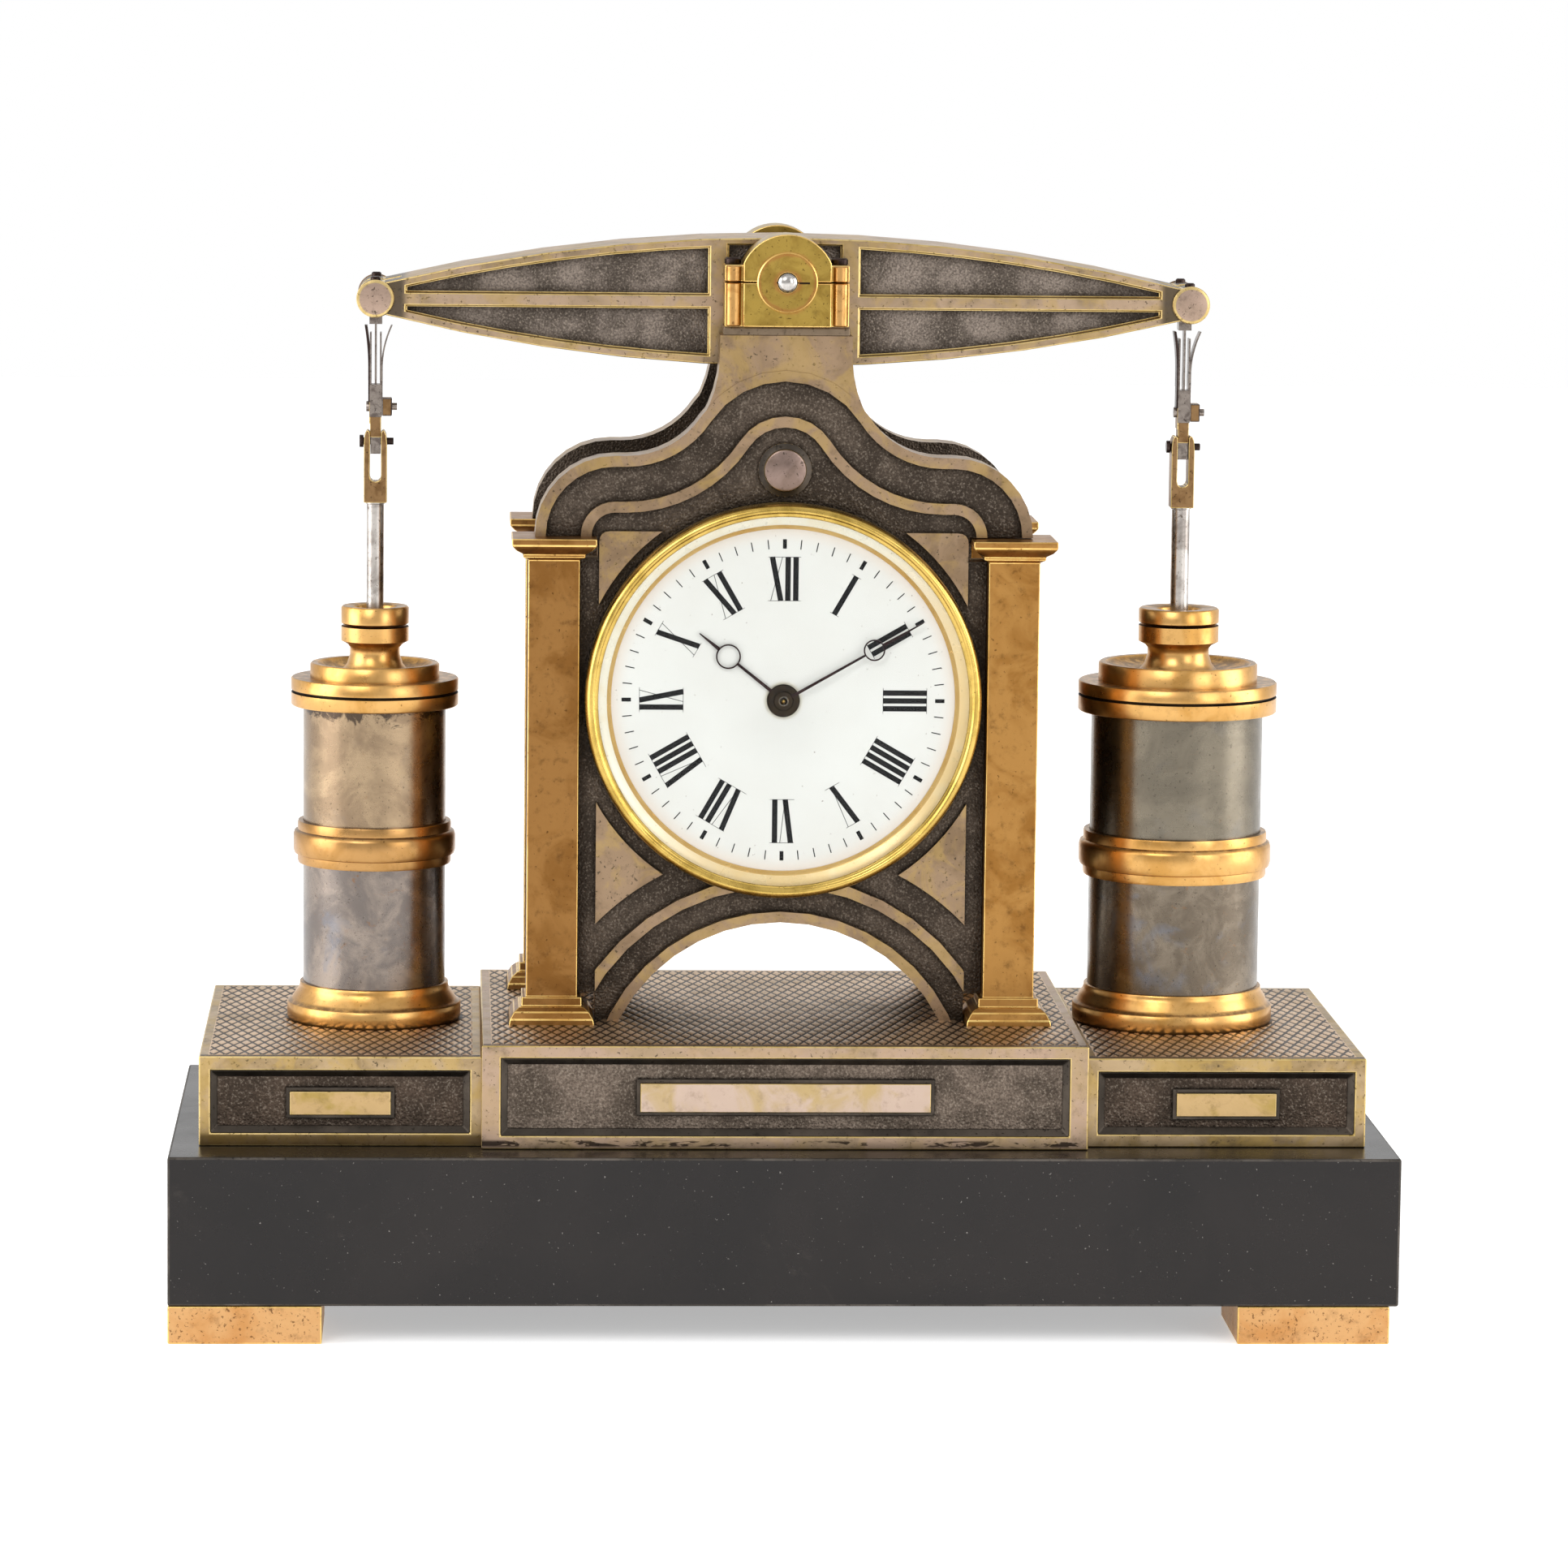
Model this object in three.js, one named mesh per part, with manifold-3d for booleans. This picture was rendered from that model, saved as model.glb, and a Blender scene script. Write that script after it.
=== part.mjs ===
// Beam-engine mantel clock: a marble plinth, three pedestal boxes, a double frame on four
// pilasters that holds a drum movement, and a rocking beam that works two steam cylinders.
// Millimetres. X runs to the viewer's right, Y to the back, Z up. The origin is on the surface
// that the feet stand on, under the middle of the plinth.

import * as THREE from "three";
import { mergeVertices } from "three/addons/utils/BufferGeometryUtils.js";
import Module from "manifold-3d";

const wasm = await Module();
wasm.setup();

// ---------------------------------------------------------------- driving dimensions

const FOOT = { width: 44.8, depth: 40, height: 11.2, rightInset: 2.6 };
const PLINTH = { width: 360, depth: 156, height: 44 };
const PLINTH_TOP = FOOT.height + PLINTH.height;

const CENTRE_BOX = { halfWidth: 89, front: -65, back: 76, height: 30.8 };
const SIDE_BOX = { outer: 171.6, front: -60, back: 70, height: 26.6 };
const BOX_WALL = 4;
const PANEL_DEPTH = 2;
const CENTRE_TOP = PLINTH_TOP + CENTRE_BOX.height;
const SIDE_TOP = PLINTH_TOP + SIDE_BOX.height;

const FRAME_Y = 15.5; // middle plane between the two frame plates
const PLATE_GAP = 47; // clear space between the two plates
const PLATE_FIELD = 11; // thickness of a plate's recessed field
const PLATE_RELIEF = 2; // height of its rims and ribs above the field
const PLATE_HALF_WIDTH = 60.4;
const RIM = 3.2; // width of the rims and ribs

const PILASTER = { x: 68.2, y: 33, half: 7.6, baseHalf: 12.7, capHalf: 12.5 };
const PILASTER_TOP = 231.2;
const BASE_HEIGHT = 8;
const CAPITAL_HEIGHT = 6.6;

const DIAL_Z = 183.1; // height of the hands' arbor
const DRUM = { outer: 53, wall: 1.2, front: -22.2, back: 56, flange: 58.4, flangeBack: -21.2 };
const DIAL = { radius: 55.6, front: -24, back: -22.5, hole: 3.4 };
const GLASS = { radius: 56.1, front: -28.5, back: -27 };
const BEZEL = { outer: 58.9, sight: 55, rabbet: 56.4, front: -30, back: -22.5, slipEdge: 51.2 };

const ARCH = { z: 62.3, radius: 53.7, ribInner: 64.4 };
const ARCH_SIDES = 40;
const SHOULDER = { x: 50.3, z: 231.6, radius: 23.6 };
const HOLLOW = { x: 47, z: 281.6, radius: 26.4 };
const CROWN = { z: 251.3, radius: 29.5 };
const INNER_RIB = 13.6; // distance from the outline to the inner rib
const NECK = { half: 19.6, top: 291 };

const PIVOT_Z = 306.8; // height of the beam's trunnions
const SHAFT_RADIUS = 2.75;
const BEARING = { half: 13, lugHalf: 18.4, foot: 293.7, arch: 14.2, lugTop: 311.8 };
const RUNNING_GAP = 0.1;

const BEAM = { y: 11, half: 17, axisZ: 300.2, top: 19.1, bend: 493, panelDepth: 3 };
const ARM = 121.4; // from the beam's middle to each end pin
const END_PIN = { boss: 5.3, disc: 5.6, core: 2.2 };
const CRANK = { z: 251.3, radius: 9, disc: 11.5 };

const LINK = { fittingFoot: 291.8, sleeveTop: 273.8, sleeveFoot: 264, foot: 252.9, pinZ: 256.6 };
const CLEVIS = { top: 260.1, foot: 238.3, slotFoot: 244.7, width: 6.9, slot: 3.4, depth: 7 };

// Each cylinder: radii of its turned steps, and their heights above the pedestal's top.
const LEFT_CYLINDER = {
  x: -ARM,
  base: 26.2,
  body: 21.4,
  band: 24.4,
  flange: 25.1,
  ring: 19.4,
  neck: 7.5,
  gland: 10.15,
  bore: 6.2,
  step: 5.4,
  baseTop: 11.4,
  bandFoot: 47.7,
  bandTop: 60.4,
  flangeFoot: 95.4,
  joint: 99.7,
  flangeTop: 103.8,
  ringTop: 108.2,
  glandFoot: 114.4,
  glandJoint: 119.4,
  glandTop: 125.3,
};
const RIGHT_CYLINDER = {
  x: ARM,
  base: 30.3,
  body: 25.9,
  band: 29.1,
  flange: 30,
  ring: 24,
  neck: 9.3,
  gland: 12.1,
  bore: 6.5,
  step: 5.5,
  baseTop: 11.2,
  bandFoot: 44.9,
  bandTop: 58.4,
  flangeFoot: 94.8,
  joint: 99.8,
  flangeTop: 103.9,
  ringTop: 109.6,
  glandFoot: 115.6,
  glandJoint: 121.1,
  glandTop: 126.1,
};

// Minute hand 10 minutes past, hour hand between ten and eleven, clockwise from twelve.
const MINUTE_ANGLE = THREE.MathUtils.degToRad(60);
const HOUR_ANGLE = THREE.MathUtils.degToRad(308.5);
const MINUTE_HAND = { length: 47, ringAt: 30.5, ring: 3.1 };
const HOUR_HAND = { length: 32, ringAt: 21, ring: 3.3 };

const BARREL_X = 24; // distance of each spring barrel from the middle of the dial
const MOTION_X = 12; // distance of the minute wheel from the middle of the dial

// ---------------------------------------------------------------- materials

const finish = (color, roughness, metalness) => ({ color, roughness, metalness });
const FINISHES = {
  marble: finish(0x26221f, 0.25, 0),
  footBrass: finish(0xc99a62, 0.4, 1),
  silvered: finish(0xa59180, 0.45, 1),
  patina: finish(0x494239, 0.6, 0.8),
  gilt: finish(0xb98a3c, 0.38, 1),
  ring: finish(0xcf9f55, 0.3, 1),
  gunmetal: finish(0x77706a, 0.35, 1),
  brass: finish(0x9a8034, 0.35, 1),
  bezel: finish(0xcfa545, 0.2, 1),
  steel: finish(0xb5b3b0, 0.25, 1),
  darkSteel: finish(0x241c1a, 0.35, 1),
  enamel: finish(0xf3f1ea, 0.15, 0),
  glass: finish(0xffffff, 0.02, 0),
  movement: finish(0xc8a55a, 0.3, 1),
};

// ---------------------------------------------------------------- solids

// Closed geometry as a solid whose faces point out.
function solidOf(geometry) {
  const loose = geometry.index ? geometry.toNonIndexed() : geometry;
  const bare = new THREE.BufferGeometry();
  bare.setAttribute("position", loose.getAttribute("position"));
  const merged = mergeVertices(bare, 1e-4);
  const corners = merged.index.array;
  const kept = [];
  for (let i = 0; i < corners.length; i += 3) {
    const [a, b, c] = [corners[i], corners[i + 1], corners[i + 2]];
    if (a !== b && b !== c && c !== a) kept.push(a, b, c);
  }
  const build = (order) =>
    new wasm.Manifold(
      new wasm.Mesh({
        numProp: 3,
        vertProperties: merged.attributes.position.array,
        triVerts: new Uint32Array(order),
      }),
    );
  const solid = build(kept);
  return solid.volume() > 0 ? solid : build(kept.reverse());
}

const join = (...solids) => solids.reduce((whole, piece) => whole.add(piece));
const cut = (body, ...tools) => tools.reduce((left, tool) => left.subtract(tool), body);

function box(x0, x1, y0, y1, z0, z1) {
  const geometry = new THREE.BoxGeometry(x1 - x0, y1 - y0, z1 - z0);
  geometry.translate((x0 + x1) / 2, (y0 + y1) / 2, (z0 + z1) / 2);
  return solidOf(geometry);
}

// A turned piece about a vertical axis at (x, y); the profile is [radius, height] pairs.
function turnedZ(profile, x, y, segments = 32) {
  const points = profile.map(([r, z]) => new THREE.Vector2(r, z));
  const geometry = new THREE.LatheGeometry(points, segments);
  geometry.rotateX(Math.PI / 2);
  geometry.translate(x, y, 0);
  return solidOf(geometry);
}

// A turned piece about a front-to-back axis at (x, z); the profile is [radius, y] pairs.
function turnedY(profile, x, z, segments = 32) {
  const points = profile.map(([r, y]) => new THREE.Vector2(r, y));
  const geometry = new THREE.LatheGeometry(points, segments);
  geometry.translate(x, 0, z);
  return solidOf(geometry);
}

const diskY = (radius, x, z, y0, y1, segments = 24) =>
  turnedY([[0, y0], [radius, y0], [radius, y1], [0, y1]], x, z, segments);

const ringY = (inner, outer, x, z, y0, y1, segments = 32) =>
  turnedY([[inner, y0], [outer, y0], [outer, y1], [inner, y1], [inner, y0]], x, z, segments);

const ringZ = (inner, outer, x, y, z0, z1, segments = 32) =>
  turnedZ([[inner, z0], [outer, z0], [outer, z1], [inner, z1], [inner, z0]], x, y, segments);

// A round bar along X.
function barX(radius, x0, x1, y, z, segments = 12) {
  const geometry = new THREE.CylinderGeometry(radius, radius, x1 - x0, segments);
  geometry.rotateZ(Math.PI / 2);
  geometry.translate((x0 + x1) / 2, y, z);
  return solidOf(geometry);
}

// An outline in the XZ plane cut from front y0 to back y1.
function sheet(shape, y0, y1, curveSegments = 4) {
  const corners = shape.getPoints(curveSegments);
  const outline = corners.filter((point, i) => point.distanceTo(corners.at(i - 1)) > 1e-3);
  const geometry = new THREE.ExtrudeGeometry(new THREE.Shape(outline), {
    depth: y1 - y0,
    bevelEnabled: false,
  });
  geometry.rotateX(Math.PI / 2);
  geometry.translate(0, y1, 0);
  return solidOf(geometry);
}

function polygon(points) {
  const shape = new THREE.Shape();
  points.forEach(([x, z], i) => (i ? shape.lineTo(x, z) : shape.moveTo(x, z)));
  shape.closePath();
  return shape;
}

// A spur gear outline: four corners to a tooth, cut a little thin so that pairs run freely.
function gearShape(teeth, module, turn = 0) {
  const pitch = (teeth * module) / 2;
  const tip = pitch + 0.75 * module;
  const root = pitch - 1.05 * module;
  const step = (2 * Math.PI) / teeth;
  const points = [];
  for (let i = 0; i < teeth; i += 1) {
    const middle = turn + i * step;
    const corner = (radius, share) => {
      const angle = middle + share * step;
      points.push([radius * Math.sin(angle), radius * Math.cos(angle)]);
    };
    corner(root, -0.26);
    corner(tip, -0.12);
    corner(tip, 0.12);
    corner(root, 0.26);
  }
  return polygon(points);
}

const gear = (teeth, module, x, z, y0, y1, turn) =>
  sheet(gearShape(teeth, module, turn), y0, y1).translate([x, 0, z]);

// ---------------------------------------------------------------- base

function foot(side, end) {
  const outer = PLINTH.width / 2 - (side > 0 ? FOOT.rightInset : 0);
  const inner = outer - FOOT.width;
  const outerY = PLINTH.depth / 2;
  const innerY = outerY - FOOT.depth;
  const [x0, x1] = side > 0 ? [inner, outer] : [-outer, -inner];
  const [y0, y1] = end > 0 ? [innerY, outerY] : [-outerY, -innerY];
  return box(x0, x1, y0, y1, 0, FOOT.height);
}

const plinth = () =>
  box(
    -PLINTH.width / 2,
    PLINTH.width / 2,
    -PLINTH.depth / 2,
    PLINTH.depth / 2,
    FOOT.height,
    PLINTH_TOP,
  );

// A cast box open underneath, with a recessed panel and a raised tablet on its front.
function pedestal(x0, x1, front, back, height, panel, tablet) {
  const top = PLINTH_TOP + height;
  const shell = cut(
    box(x0, x1, front, back, PLINTH_TOP, top),
    box(
      x0 + BOX_WALL,
      x1 - BOX_WALL,
      front + BOX_WALL + PANEL_DEPTH,
      back - BOX_WALL,
      PLINTH_TOP - 1,
      top - BOX_WALL,
    ),
    box(panel.x0, panel.x1, front - 1, front + PANEL_DEPTH, panel.z0, panel.z1),
  );
  const middle = (panel.x0 + panel.x1) / 2;
  const raised = box(
    middle - tablet.width / 2,
    middle + tablet.width / 2,
    front,
    front + PANEL_DEPTH + 1,
    tablet.z0,
    tablet.z1,
  );
  return join(shell, raised);
}

const centrePedestal = () =>
  pedestal(
    -CENTRE_BOX.halfWidth,
    CENTRE_BOX.halfWidth,
    CENTRE_BOX.front,
    CENTRE_BOX.back,
    CENTRE_BOX.height,
    { x0: -83.4, x1: 83.4, z0: 59.3, z1: 82.2 },
    { width: 85.2, z0: 66.3, z1: 74.9 },
  );

function sidePedestal(side) {
  const ends = [side * SIDE_BOX.outer, side * CENTRE_BOX.halfWidth].sort((a, b) => a - b);
  const panelEnds = [side * 168.2, side * 92.4].sort((a, b) => a - b);
  return pedestal(
    ends[0],
    ends[1],
    SIDE_BOX.front,
    SIDE_BOX.back,
    SIDE_BOX.height,
    { x0: panelEnds[0], x1: panelEnds[1], z0: 59.1, z1: 77.6 },
    { width: 29.5, z0: 64.4, z1: 71.4 },
  );
}

// ---------------------------------------------------------------- frame

// The serpentine outline of the frame's head, moved inwards by an inset.
function headShape(inset, footZ) {
  const towardsCrown = Math.atan2(HOLLOW.z - CROWN.z, HOLLOW.x);
  const quarter = Math.PI / 2;
  const shoulder = SHOULDER.radius - inset;
  const hollow = HOLLOW.radius + inset;
  const shape = new THREE.Shape();
  shape.moveTo(SHOULDER.x + shoulder, footZ);
  shape.absarc(SHOULDER.x, SHOULDER.z, shoulder, 0, quarter, false);
  shape.absarc(HOLLOW.x, HOLLOW.z, hollow, -quarter, towardsCrown - Math.PI, true);
  shape.absarc(0, CROWN.z, CROWN.radius - inset, towardsCrown, Math.PI - towardsCrown, false);
  shape.absarc(-HOLLOW.x, HOLLOW.z, hollow, -towardsCrown, -quarter, true);
  shape.absarc(-SHOULDER.x, SHOULDER.z, shoulder, quarter, Math.PI, false);
  shape.lineTo(-SHOULDER.x - shoulder, footZ);
  shape.closePath();
  return shape;
}

const headBand = (inset, y0, y1) =>
  cut(
    sheet(headShape(inset, PILASTER_TOP), y0, y1),
    sheet(headShape(inset + RIM, PILASTER_TOP - 1), y0 - 1, y1 + 1),
  );

// The part of the plate between the pilasters, notched round their bases and capitals.
function bodyShape() {
  const narrow = PILASTER.x - PILASTER.baseHalf - 0.3;
  const baseZ = CENTRE_TOP + BASE_HEIGHT + 0.3;
  const capitalZ = PILASTER_TOP - CAPITAL_HEIGHT - 0.3;
  const right = [
    [narrow, CENTRE_TOP],
    [narrow, baseZ],
    [PLATE_HALF_WIDTH, baseZ],
    [PLATE_HALF_WIDTH, capitalZ],
    [narrow, capitalZ],
    [narrow, PILASTER_TOP + 1],
  ];
  const left = right.map(([x, z]) => [-x, z]).reverse();
  return polygon([...right, ...left]);
}

// The neck that carries a bearing, widening into the crown.
function neckShape() {
  const shape = new THREE.Shape();
  shape.moveTo(-25, 266);
  shape.quadraticCurveTo(-20, 274, -NECK.half, 284);
  shape.lineTo(-NECK.half, NECK.top);
  shape.lineTo(NECK.half, NECK.top);
  shape.lineTo(NECK.half, 284);
  shape.quadraticCurveTo(20, 274, 25, 266);
  shape.closePath();
  return shape;
}

// A raised corner plate above the dial, with a hollow edge round the bezel.
function upperSpandrel(side) {
  const radius = 61.5;
  const shape = new THREE.Shape();
  const highZ = 232.8;
  const high = { x: Math.sqrt(radius ** 2 - (highZ - DIAL_Z) ** 2), z: highZ };
  const edge = 54.8;
  const low = { x: edge, z: DIAL_Z + Math.sqrt(radius ** 2 - edge ** 2) };
  shape.moveTo(side * low.x, low.z);
  shape.lineTo(side * low.x, high.z - 3.2);
  shape.quadraticCurveTo(side * low.x, high.z, side * (low.x - 3.2), high.z);
  shape.lineTo(side * high.x, high.z);
  const from = Math.atan2(high.z - DIAL_Z, side * high.x);
  const to = Math.atan2(low.z - DIAL_Z, side * low.x);
  shape.absarc(0, DIAL_Z, radius, from, to, side > 0);
  shape.closePath();
  return shape;
}

// A raised corner plate between the dial and the arch.
function lowerSpandrel(side) {
  const edge = 55.2;
  const dialRadius = 63.5;
  const archRadius = 76.5;
  const apart = DIAL_Z - ARCH.z;
  const drop = (dialRadius ** 2 - archRadius ** 2 + apart ** 2) / (2 * apart);
  const tip = { x: Math.sqrt(dialRadius ** 2 - drop ** 2), z: DIAL_Z - drop };
  const top = DIAL_Z - Math.sqrt(dialRadius ** 2 - edge ** 2);
  const bottom = ARCH.z + Math.sqrt(archRadius ** 2 - edge ** 2);
  const angle = (x, z, centre) => Math.atan2(z - centre, side * x);
  const shape = new THREE.Shape();
  shape.moveTo(side * edge, bottom);
  shape.lineTo(side * edge, top);
  const dialFrom = angle(edge, top, DIAL_Z);
  const dialTo = angle(tip.x, tip.z, DIAL_Z);
  shape.absarc(0, DIAL_Z, dialRadius, dialFrom, dialTo, side > 0);
  const archFrom = angle(tip.x, tip.z, ARCH.z);
  const archTo = angle(edge, bottom, ARCH.z);
  shape.absarc(0, ARCH.z, archRadius, archFrom, archTo, side > 0);
  shape.closePath();
  return shape;
}

// A frame plate with its relief towards the front; the rear plate is its mirror image.
function framePlate(withCrankHole) {
  const back = FRAME_Y - PLATE_GAP / 2;
  const field = back - PLATE_FIELD;
  const face = field - PLATE_RELIEF;
  const archWidth = PILASTER.x - PILASTER.baseHalf - 0.3;
  const archWindow = box(-archWidth, archWidth, -60, 60, CENTRE_TOP, DIAL_Z - 40);
  const archRib = (inner) =>
    ringY(inner, inner + RIM, 0, ARCH.z, face, field + 1, ARCH_SIDES).intersect(archWindow);
  const relief = [
    headBand(0, face, field + 1),
    headBand(INNER_RIB, face, field + 1),
    archRib(ARCH.radius),
    archRib(ARCH.ribInner),
    sheet(upperSpandrel(1), face + 0.5, field + 1),
    sheet(upperSpandrel(-1), face + 0.5, field + 1),
    sheet(lowerSpandrel(1), face + 0.5, field + 1),
    sheet(lowerSpandrel(-1), face + 0.5, field + 1),
    sheet(neckShape(), face + 0.4, back).subtract(
      sheet(headShape(1, PILASTER_TOP - 1), face - 1, field),
    ),
    box(-18.6, 18.6, face + 0.8, back, NECK.top - 1, BEARING.foot),
    diskY(7.95, 0, CRANK.z, face + 0.8, field + 1, 24),
  ];
  const solid = join(
    sheet(headShape(0, PILASTER_TOP), field, back),
    sheet(bodyShape(), field, back),
    ...relief,
  );
  const openings = [
    diskY(ARCH.radius, 0, ARCH.z, face - 1, back + 1, ARCH_SIDES),
    diskY(DRUM.outer + 0.3, 0, DIAL_Z, face - 1, back + 1, 40),
  ];
  if (withCrankHole) {
    openings.push(diskY(2.6, 0, CRANK.z, face - 1, back + 1, 16));
  }
  return cut(solid, ...openings);
}

// Mirrors a front piece to the back of the frame.
const toRear = (solid) => solid.mirror([0, 1, 0]).translate([0, 2 * FRAME_Y, 0]);

// A square column: moulded base, plain shaft and moulded capital, as one casting.
function pilaster(x, y) {
  const foot0 = CENTRE_TOP;
  const profile = [
    [0, foot0],
    [12.7, foot0],
    [12.4, foot0 + 1.8],
    [11.2, foot0 + 3.9],
    [9.6, foot0 + 5.2],
    [8.9, foot0 + 5.4],
    [8.9, foot0 + BASE_HEIGHT],
    [PILASTER.half, foot0 + BASE_HEIGHT],
    [PILASTER.half, PILASTER_TOP - CAPITAL_HEIGHT],
    [9.2, PILASTER_TOP - 5.8],
    [9.2, PILASTER_TOP - 4.8],
    [11.2, PILASTER_TOP - 3.6],
    [12.1, PILASTER_TOP - 2.6],
    [PILASTER.capHalf, PILASTER_TOP - 2],
    [PILASTER.capHalf, PILASTER_TOP],
    [0, PILASTER_TOP],
  ];
  const corner = Math.SQRT2;
  const points = profile.map(([half, z]) => new THREE.Vector2(half * corner, z));
  const geometry = new THREE.LatheGeometry(points, 4, Math.PI / 4);
  geometry.rotateX(Math.PI / 2);
  geometry.translate(x, y, 0);
  return solidOf(geometry);
}

// ---------------------------------------------------------------- bearings of the beam

const BLOCK_FRONT = -23;
const LUG_FRONT = -21;
const BLOCK_BACK = -8;
const SPLIT = 0.15; // half the gap between a bearing block and its cap
const SHAFT_SIDES = 16;

const shaftBore = () =>
  diskY(SHAFT_RADIUS + RUNNING_GAP, 0, PIVOT_Z, BLOCK_FRONT - 1, BLOCK_BACK + 1, SHAFT_SIDES);

const bearingBlock = () =>
  cut(
    join(
      box(-BEARING.half, BEARING.half, BLOCK_FRONT, BLOCK_BACK, BEARING.foot, PIVOT_Z - SPLIT),
      box(
        -BEARING.lugHalf,
        BEARING.lugHalf,
        LUG_FRONT,
        BLOCK_BACK - 1,
        BEARING.foot,
        PIVOT_Z - SPLIT,
      ),
    ),
    shaftBore(),
  );

function bearingCap() {
  const low = PIVOT_Z + SPLIT;
  const arch = diskY(BEARING.arch, 0, PIVOT_Z, BLOCK_FRONT, BLOCK_BACK, 48).intersect(
    box(-BEARING.half, BEARING.half, BLOCK_FRONT, BLOCK_BACK, low, PIVOT_Z + 20),
  );
  const lugs = box(
    -BEARING.lugHalf,
    BEARING.lugHalf,
    LUG_FRONT,
    BLOCK_BACK - 1,
    low,
    BEARING.lugTop,
  );
  return cut(join(arch, lugs), shaftBore());
}

const SCREW_X = 15.8;
const SCREW_Y = -14;
const capScrew = (side) =>
  turnedZ(
    [
      [0, BEARING.lugTop],
      [2.4, BEARING.lugTop],
      [2.4, BEARING.lugTop + 1.6],
      [2, BEARING.lugTop + 2],
      [0, BEARING.lugTop + 2],
    ],
    side * SCREW_X,
    SCREW_Y,
    16,
  );

// ---------------------------------------------------------------- drum and dial

const DRUM_INNER = DRUM.outer - DRUM.wall;
const HINGE = { x: 56.6, y: 59.4, radius: 1.8, pin: 0.8 };
const DOOR = { radius: 54.6, front: 56.3, back: 58.3 };
const DOOR_HINGE_HALF = 9;

const hingeRod = (radius, z0, z1) =>
  turnedZ([[0, z0], [radius, z0], [radius, z1], [0, z1]], HINGE.x, HINGE.y, 12);
const knuckle = (z0, z1) => hingeRod(HINGE.radius, z0, z1);

function drumCase() {
  const shell = join(
    ringY(DRUM_INNER, DRUM.outer, 0, DIAL_Z, DRUM.front, DRUM.back, 40),
    ringY(DRUM_INNER, DRUM.flange, 0, DIAL_Z, DRUM.front, DRUM.flangeBack, 40),
  );
  const ears = [-1, 1].map((end) => {
    const near = DIAL_Z + end * (DOOR_HINGE_HALF + 0.3);
    const far = DIAL_Z + end * (DOOR_HINGE_HALF + 7);
    const [z0, z1] = [near, far].sort((a, b) => a - b);
    const strap = box(49, HINGE.x + 1, 52.6, 54.6, z0, z1);
    const upright = box(HINGE.x - 1.2, HINGE.x + 1.5, 52.6, HINGE.y, z0, z1);
    return join(strap, upright, knuckle(z0, z1));
  });
  const inside = diskY(DRUM_INNER, 0, DIAL_Z, DRUM.front - 1, DRUM.back + 1, 40);
  const reach = DOOR_HINGE_HALF + 5;
  const pin = hingeRod(HINGE.pin, DIAL_Z - reach, DIAL_Z + reach);
  return cut(join(shell, ...ears, pin), inside);
}

// The door at the back, with holes for the two winding keys and the hand-setting knob.
function backDoor() {
  const disc = turnedY(
    [
      [0, DOOR.front],
      [DOOR.radius, DOOR.front],
      [DOOR.radius, DOOR.back - 0.8],
      [DOOR.radius - 1.2, DOOR.back],
      [0, DOOR.back],
    ],
    0,
    DIAL_Z,
    36,
  );
  const low = DIAL_Z - DOOR_HINGE_HALF;
  const high = DIAL_Z + DOOR_HINGE_HALF;
  const strap = box(48, HINGE.x, DOOR.back - 0.6, DOOR.back + 1.1, low, high);
  const holes = [-BARREL_X, 0, BARREL_X].map((x) =>
    diskY(x ? 4 : 6.5, x, DIAL_Z, DOOR.front - 1, DOOR.back + 2, 20),
  );
  const pinHole = hingeRod(HINGE.pin + RUNNING_GAP, low - 1, high + 1);
  return cut(join(disc, strap, knuckle(low, high)), ...holes, pinHole);
}

// The bezel holds the glass in a rabbet and carries a sloped slip ring over the dial's edge.
const bezel = () =>
  turnedY(
    [
      [BEZEL.sight, GLASS.front - 0.3],
      [BEZEL.sight, BEZEL.front + 0.6],
      [BEZEL.sight + 1.2, BEZEL.front + 0.7],
      [BEZEL.sight + 2.1, BEZEL.front],
      [BEZEL.outer - 1.3, BEZEL.front + 0.3],
      [BEZEL.outer, BEZEL.front + 2.2],
      [BEZEL.outer, BEZEL.back],
      [BEZEL.rabbet, BEZEL.back],
      [BEZEL.rabbet, DIAL.front - 0.3],
      [BEZEL.slipEdge, DIAL.front - 0.3],
      [BEZEL.slipEdge, DIAL.front - 0.6],
      [BEZEL.sight + 0.4, GLASS.back + 0.2],
      [BEZEL.rabbet, GLASS.back + 0.2],
      [BEZEL.rabbet, GLASS.front - 0.3],
      [BEZEL.sight, GLASS.front - 0.3],
    ],
    0,
    DIAL_Z,
    40,
  );

const dialGlass = () => diskY(GLASS.radius, 0, DIAL_Z, GLASS.front, GLASS.back, 36);

const dial = () => ringY(DIAL.hole, DIAL.radius, 0, DIAL_Z, DIAL.front, DIAL.back, 40);

// ---------------------------------------------------------------- hands and movement

// A hand with an open ring towards its tip, lying on the direction clockwise from twelve.
function hand(spec, hubRadius, bore, angle, y0, y1) {
  const blade = polygon([
    [-0.9, 0],
    [-0.45, spec.ringAt - spec.ring + 0.4],
    [0.45, spec.ringAt - spec.ring + 0.4],
    [0.9, 0],
  ]);
  const tipFoot = spec.ringAt + spec.ring - 0.4;
  const tip = polygon([[-0.8, tipFoot], [-0.15, spec.length], [0.15, spec.length], [0.8, tipFoot]]);
  const flat = join(
    sheet(blade, y0, y1),
    sheet(tip, y0, y1),
    ringY(spec.ring - 0.7, spec.ring, 0, spec.ringAt, y0, y1, 20),
    diskY(hubRadius, 0, 0, y0, y1, 24),
  );
  const bored = cut(flat, diskY(bore, 0, 0, y0 - 1, y1 + 1, 16));
  return bored.rotate([0, THREE.MathUtils.radToDeg(angle), 0]).translate([0, 0, DIAL_Z]);
}

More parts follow.
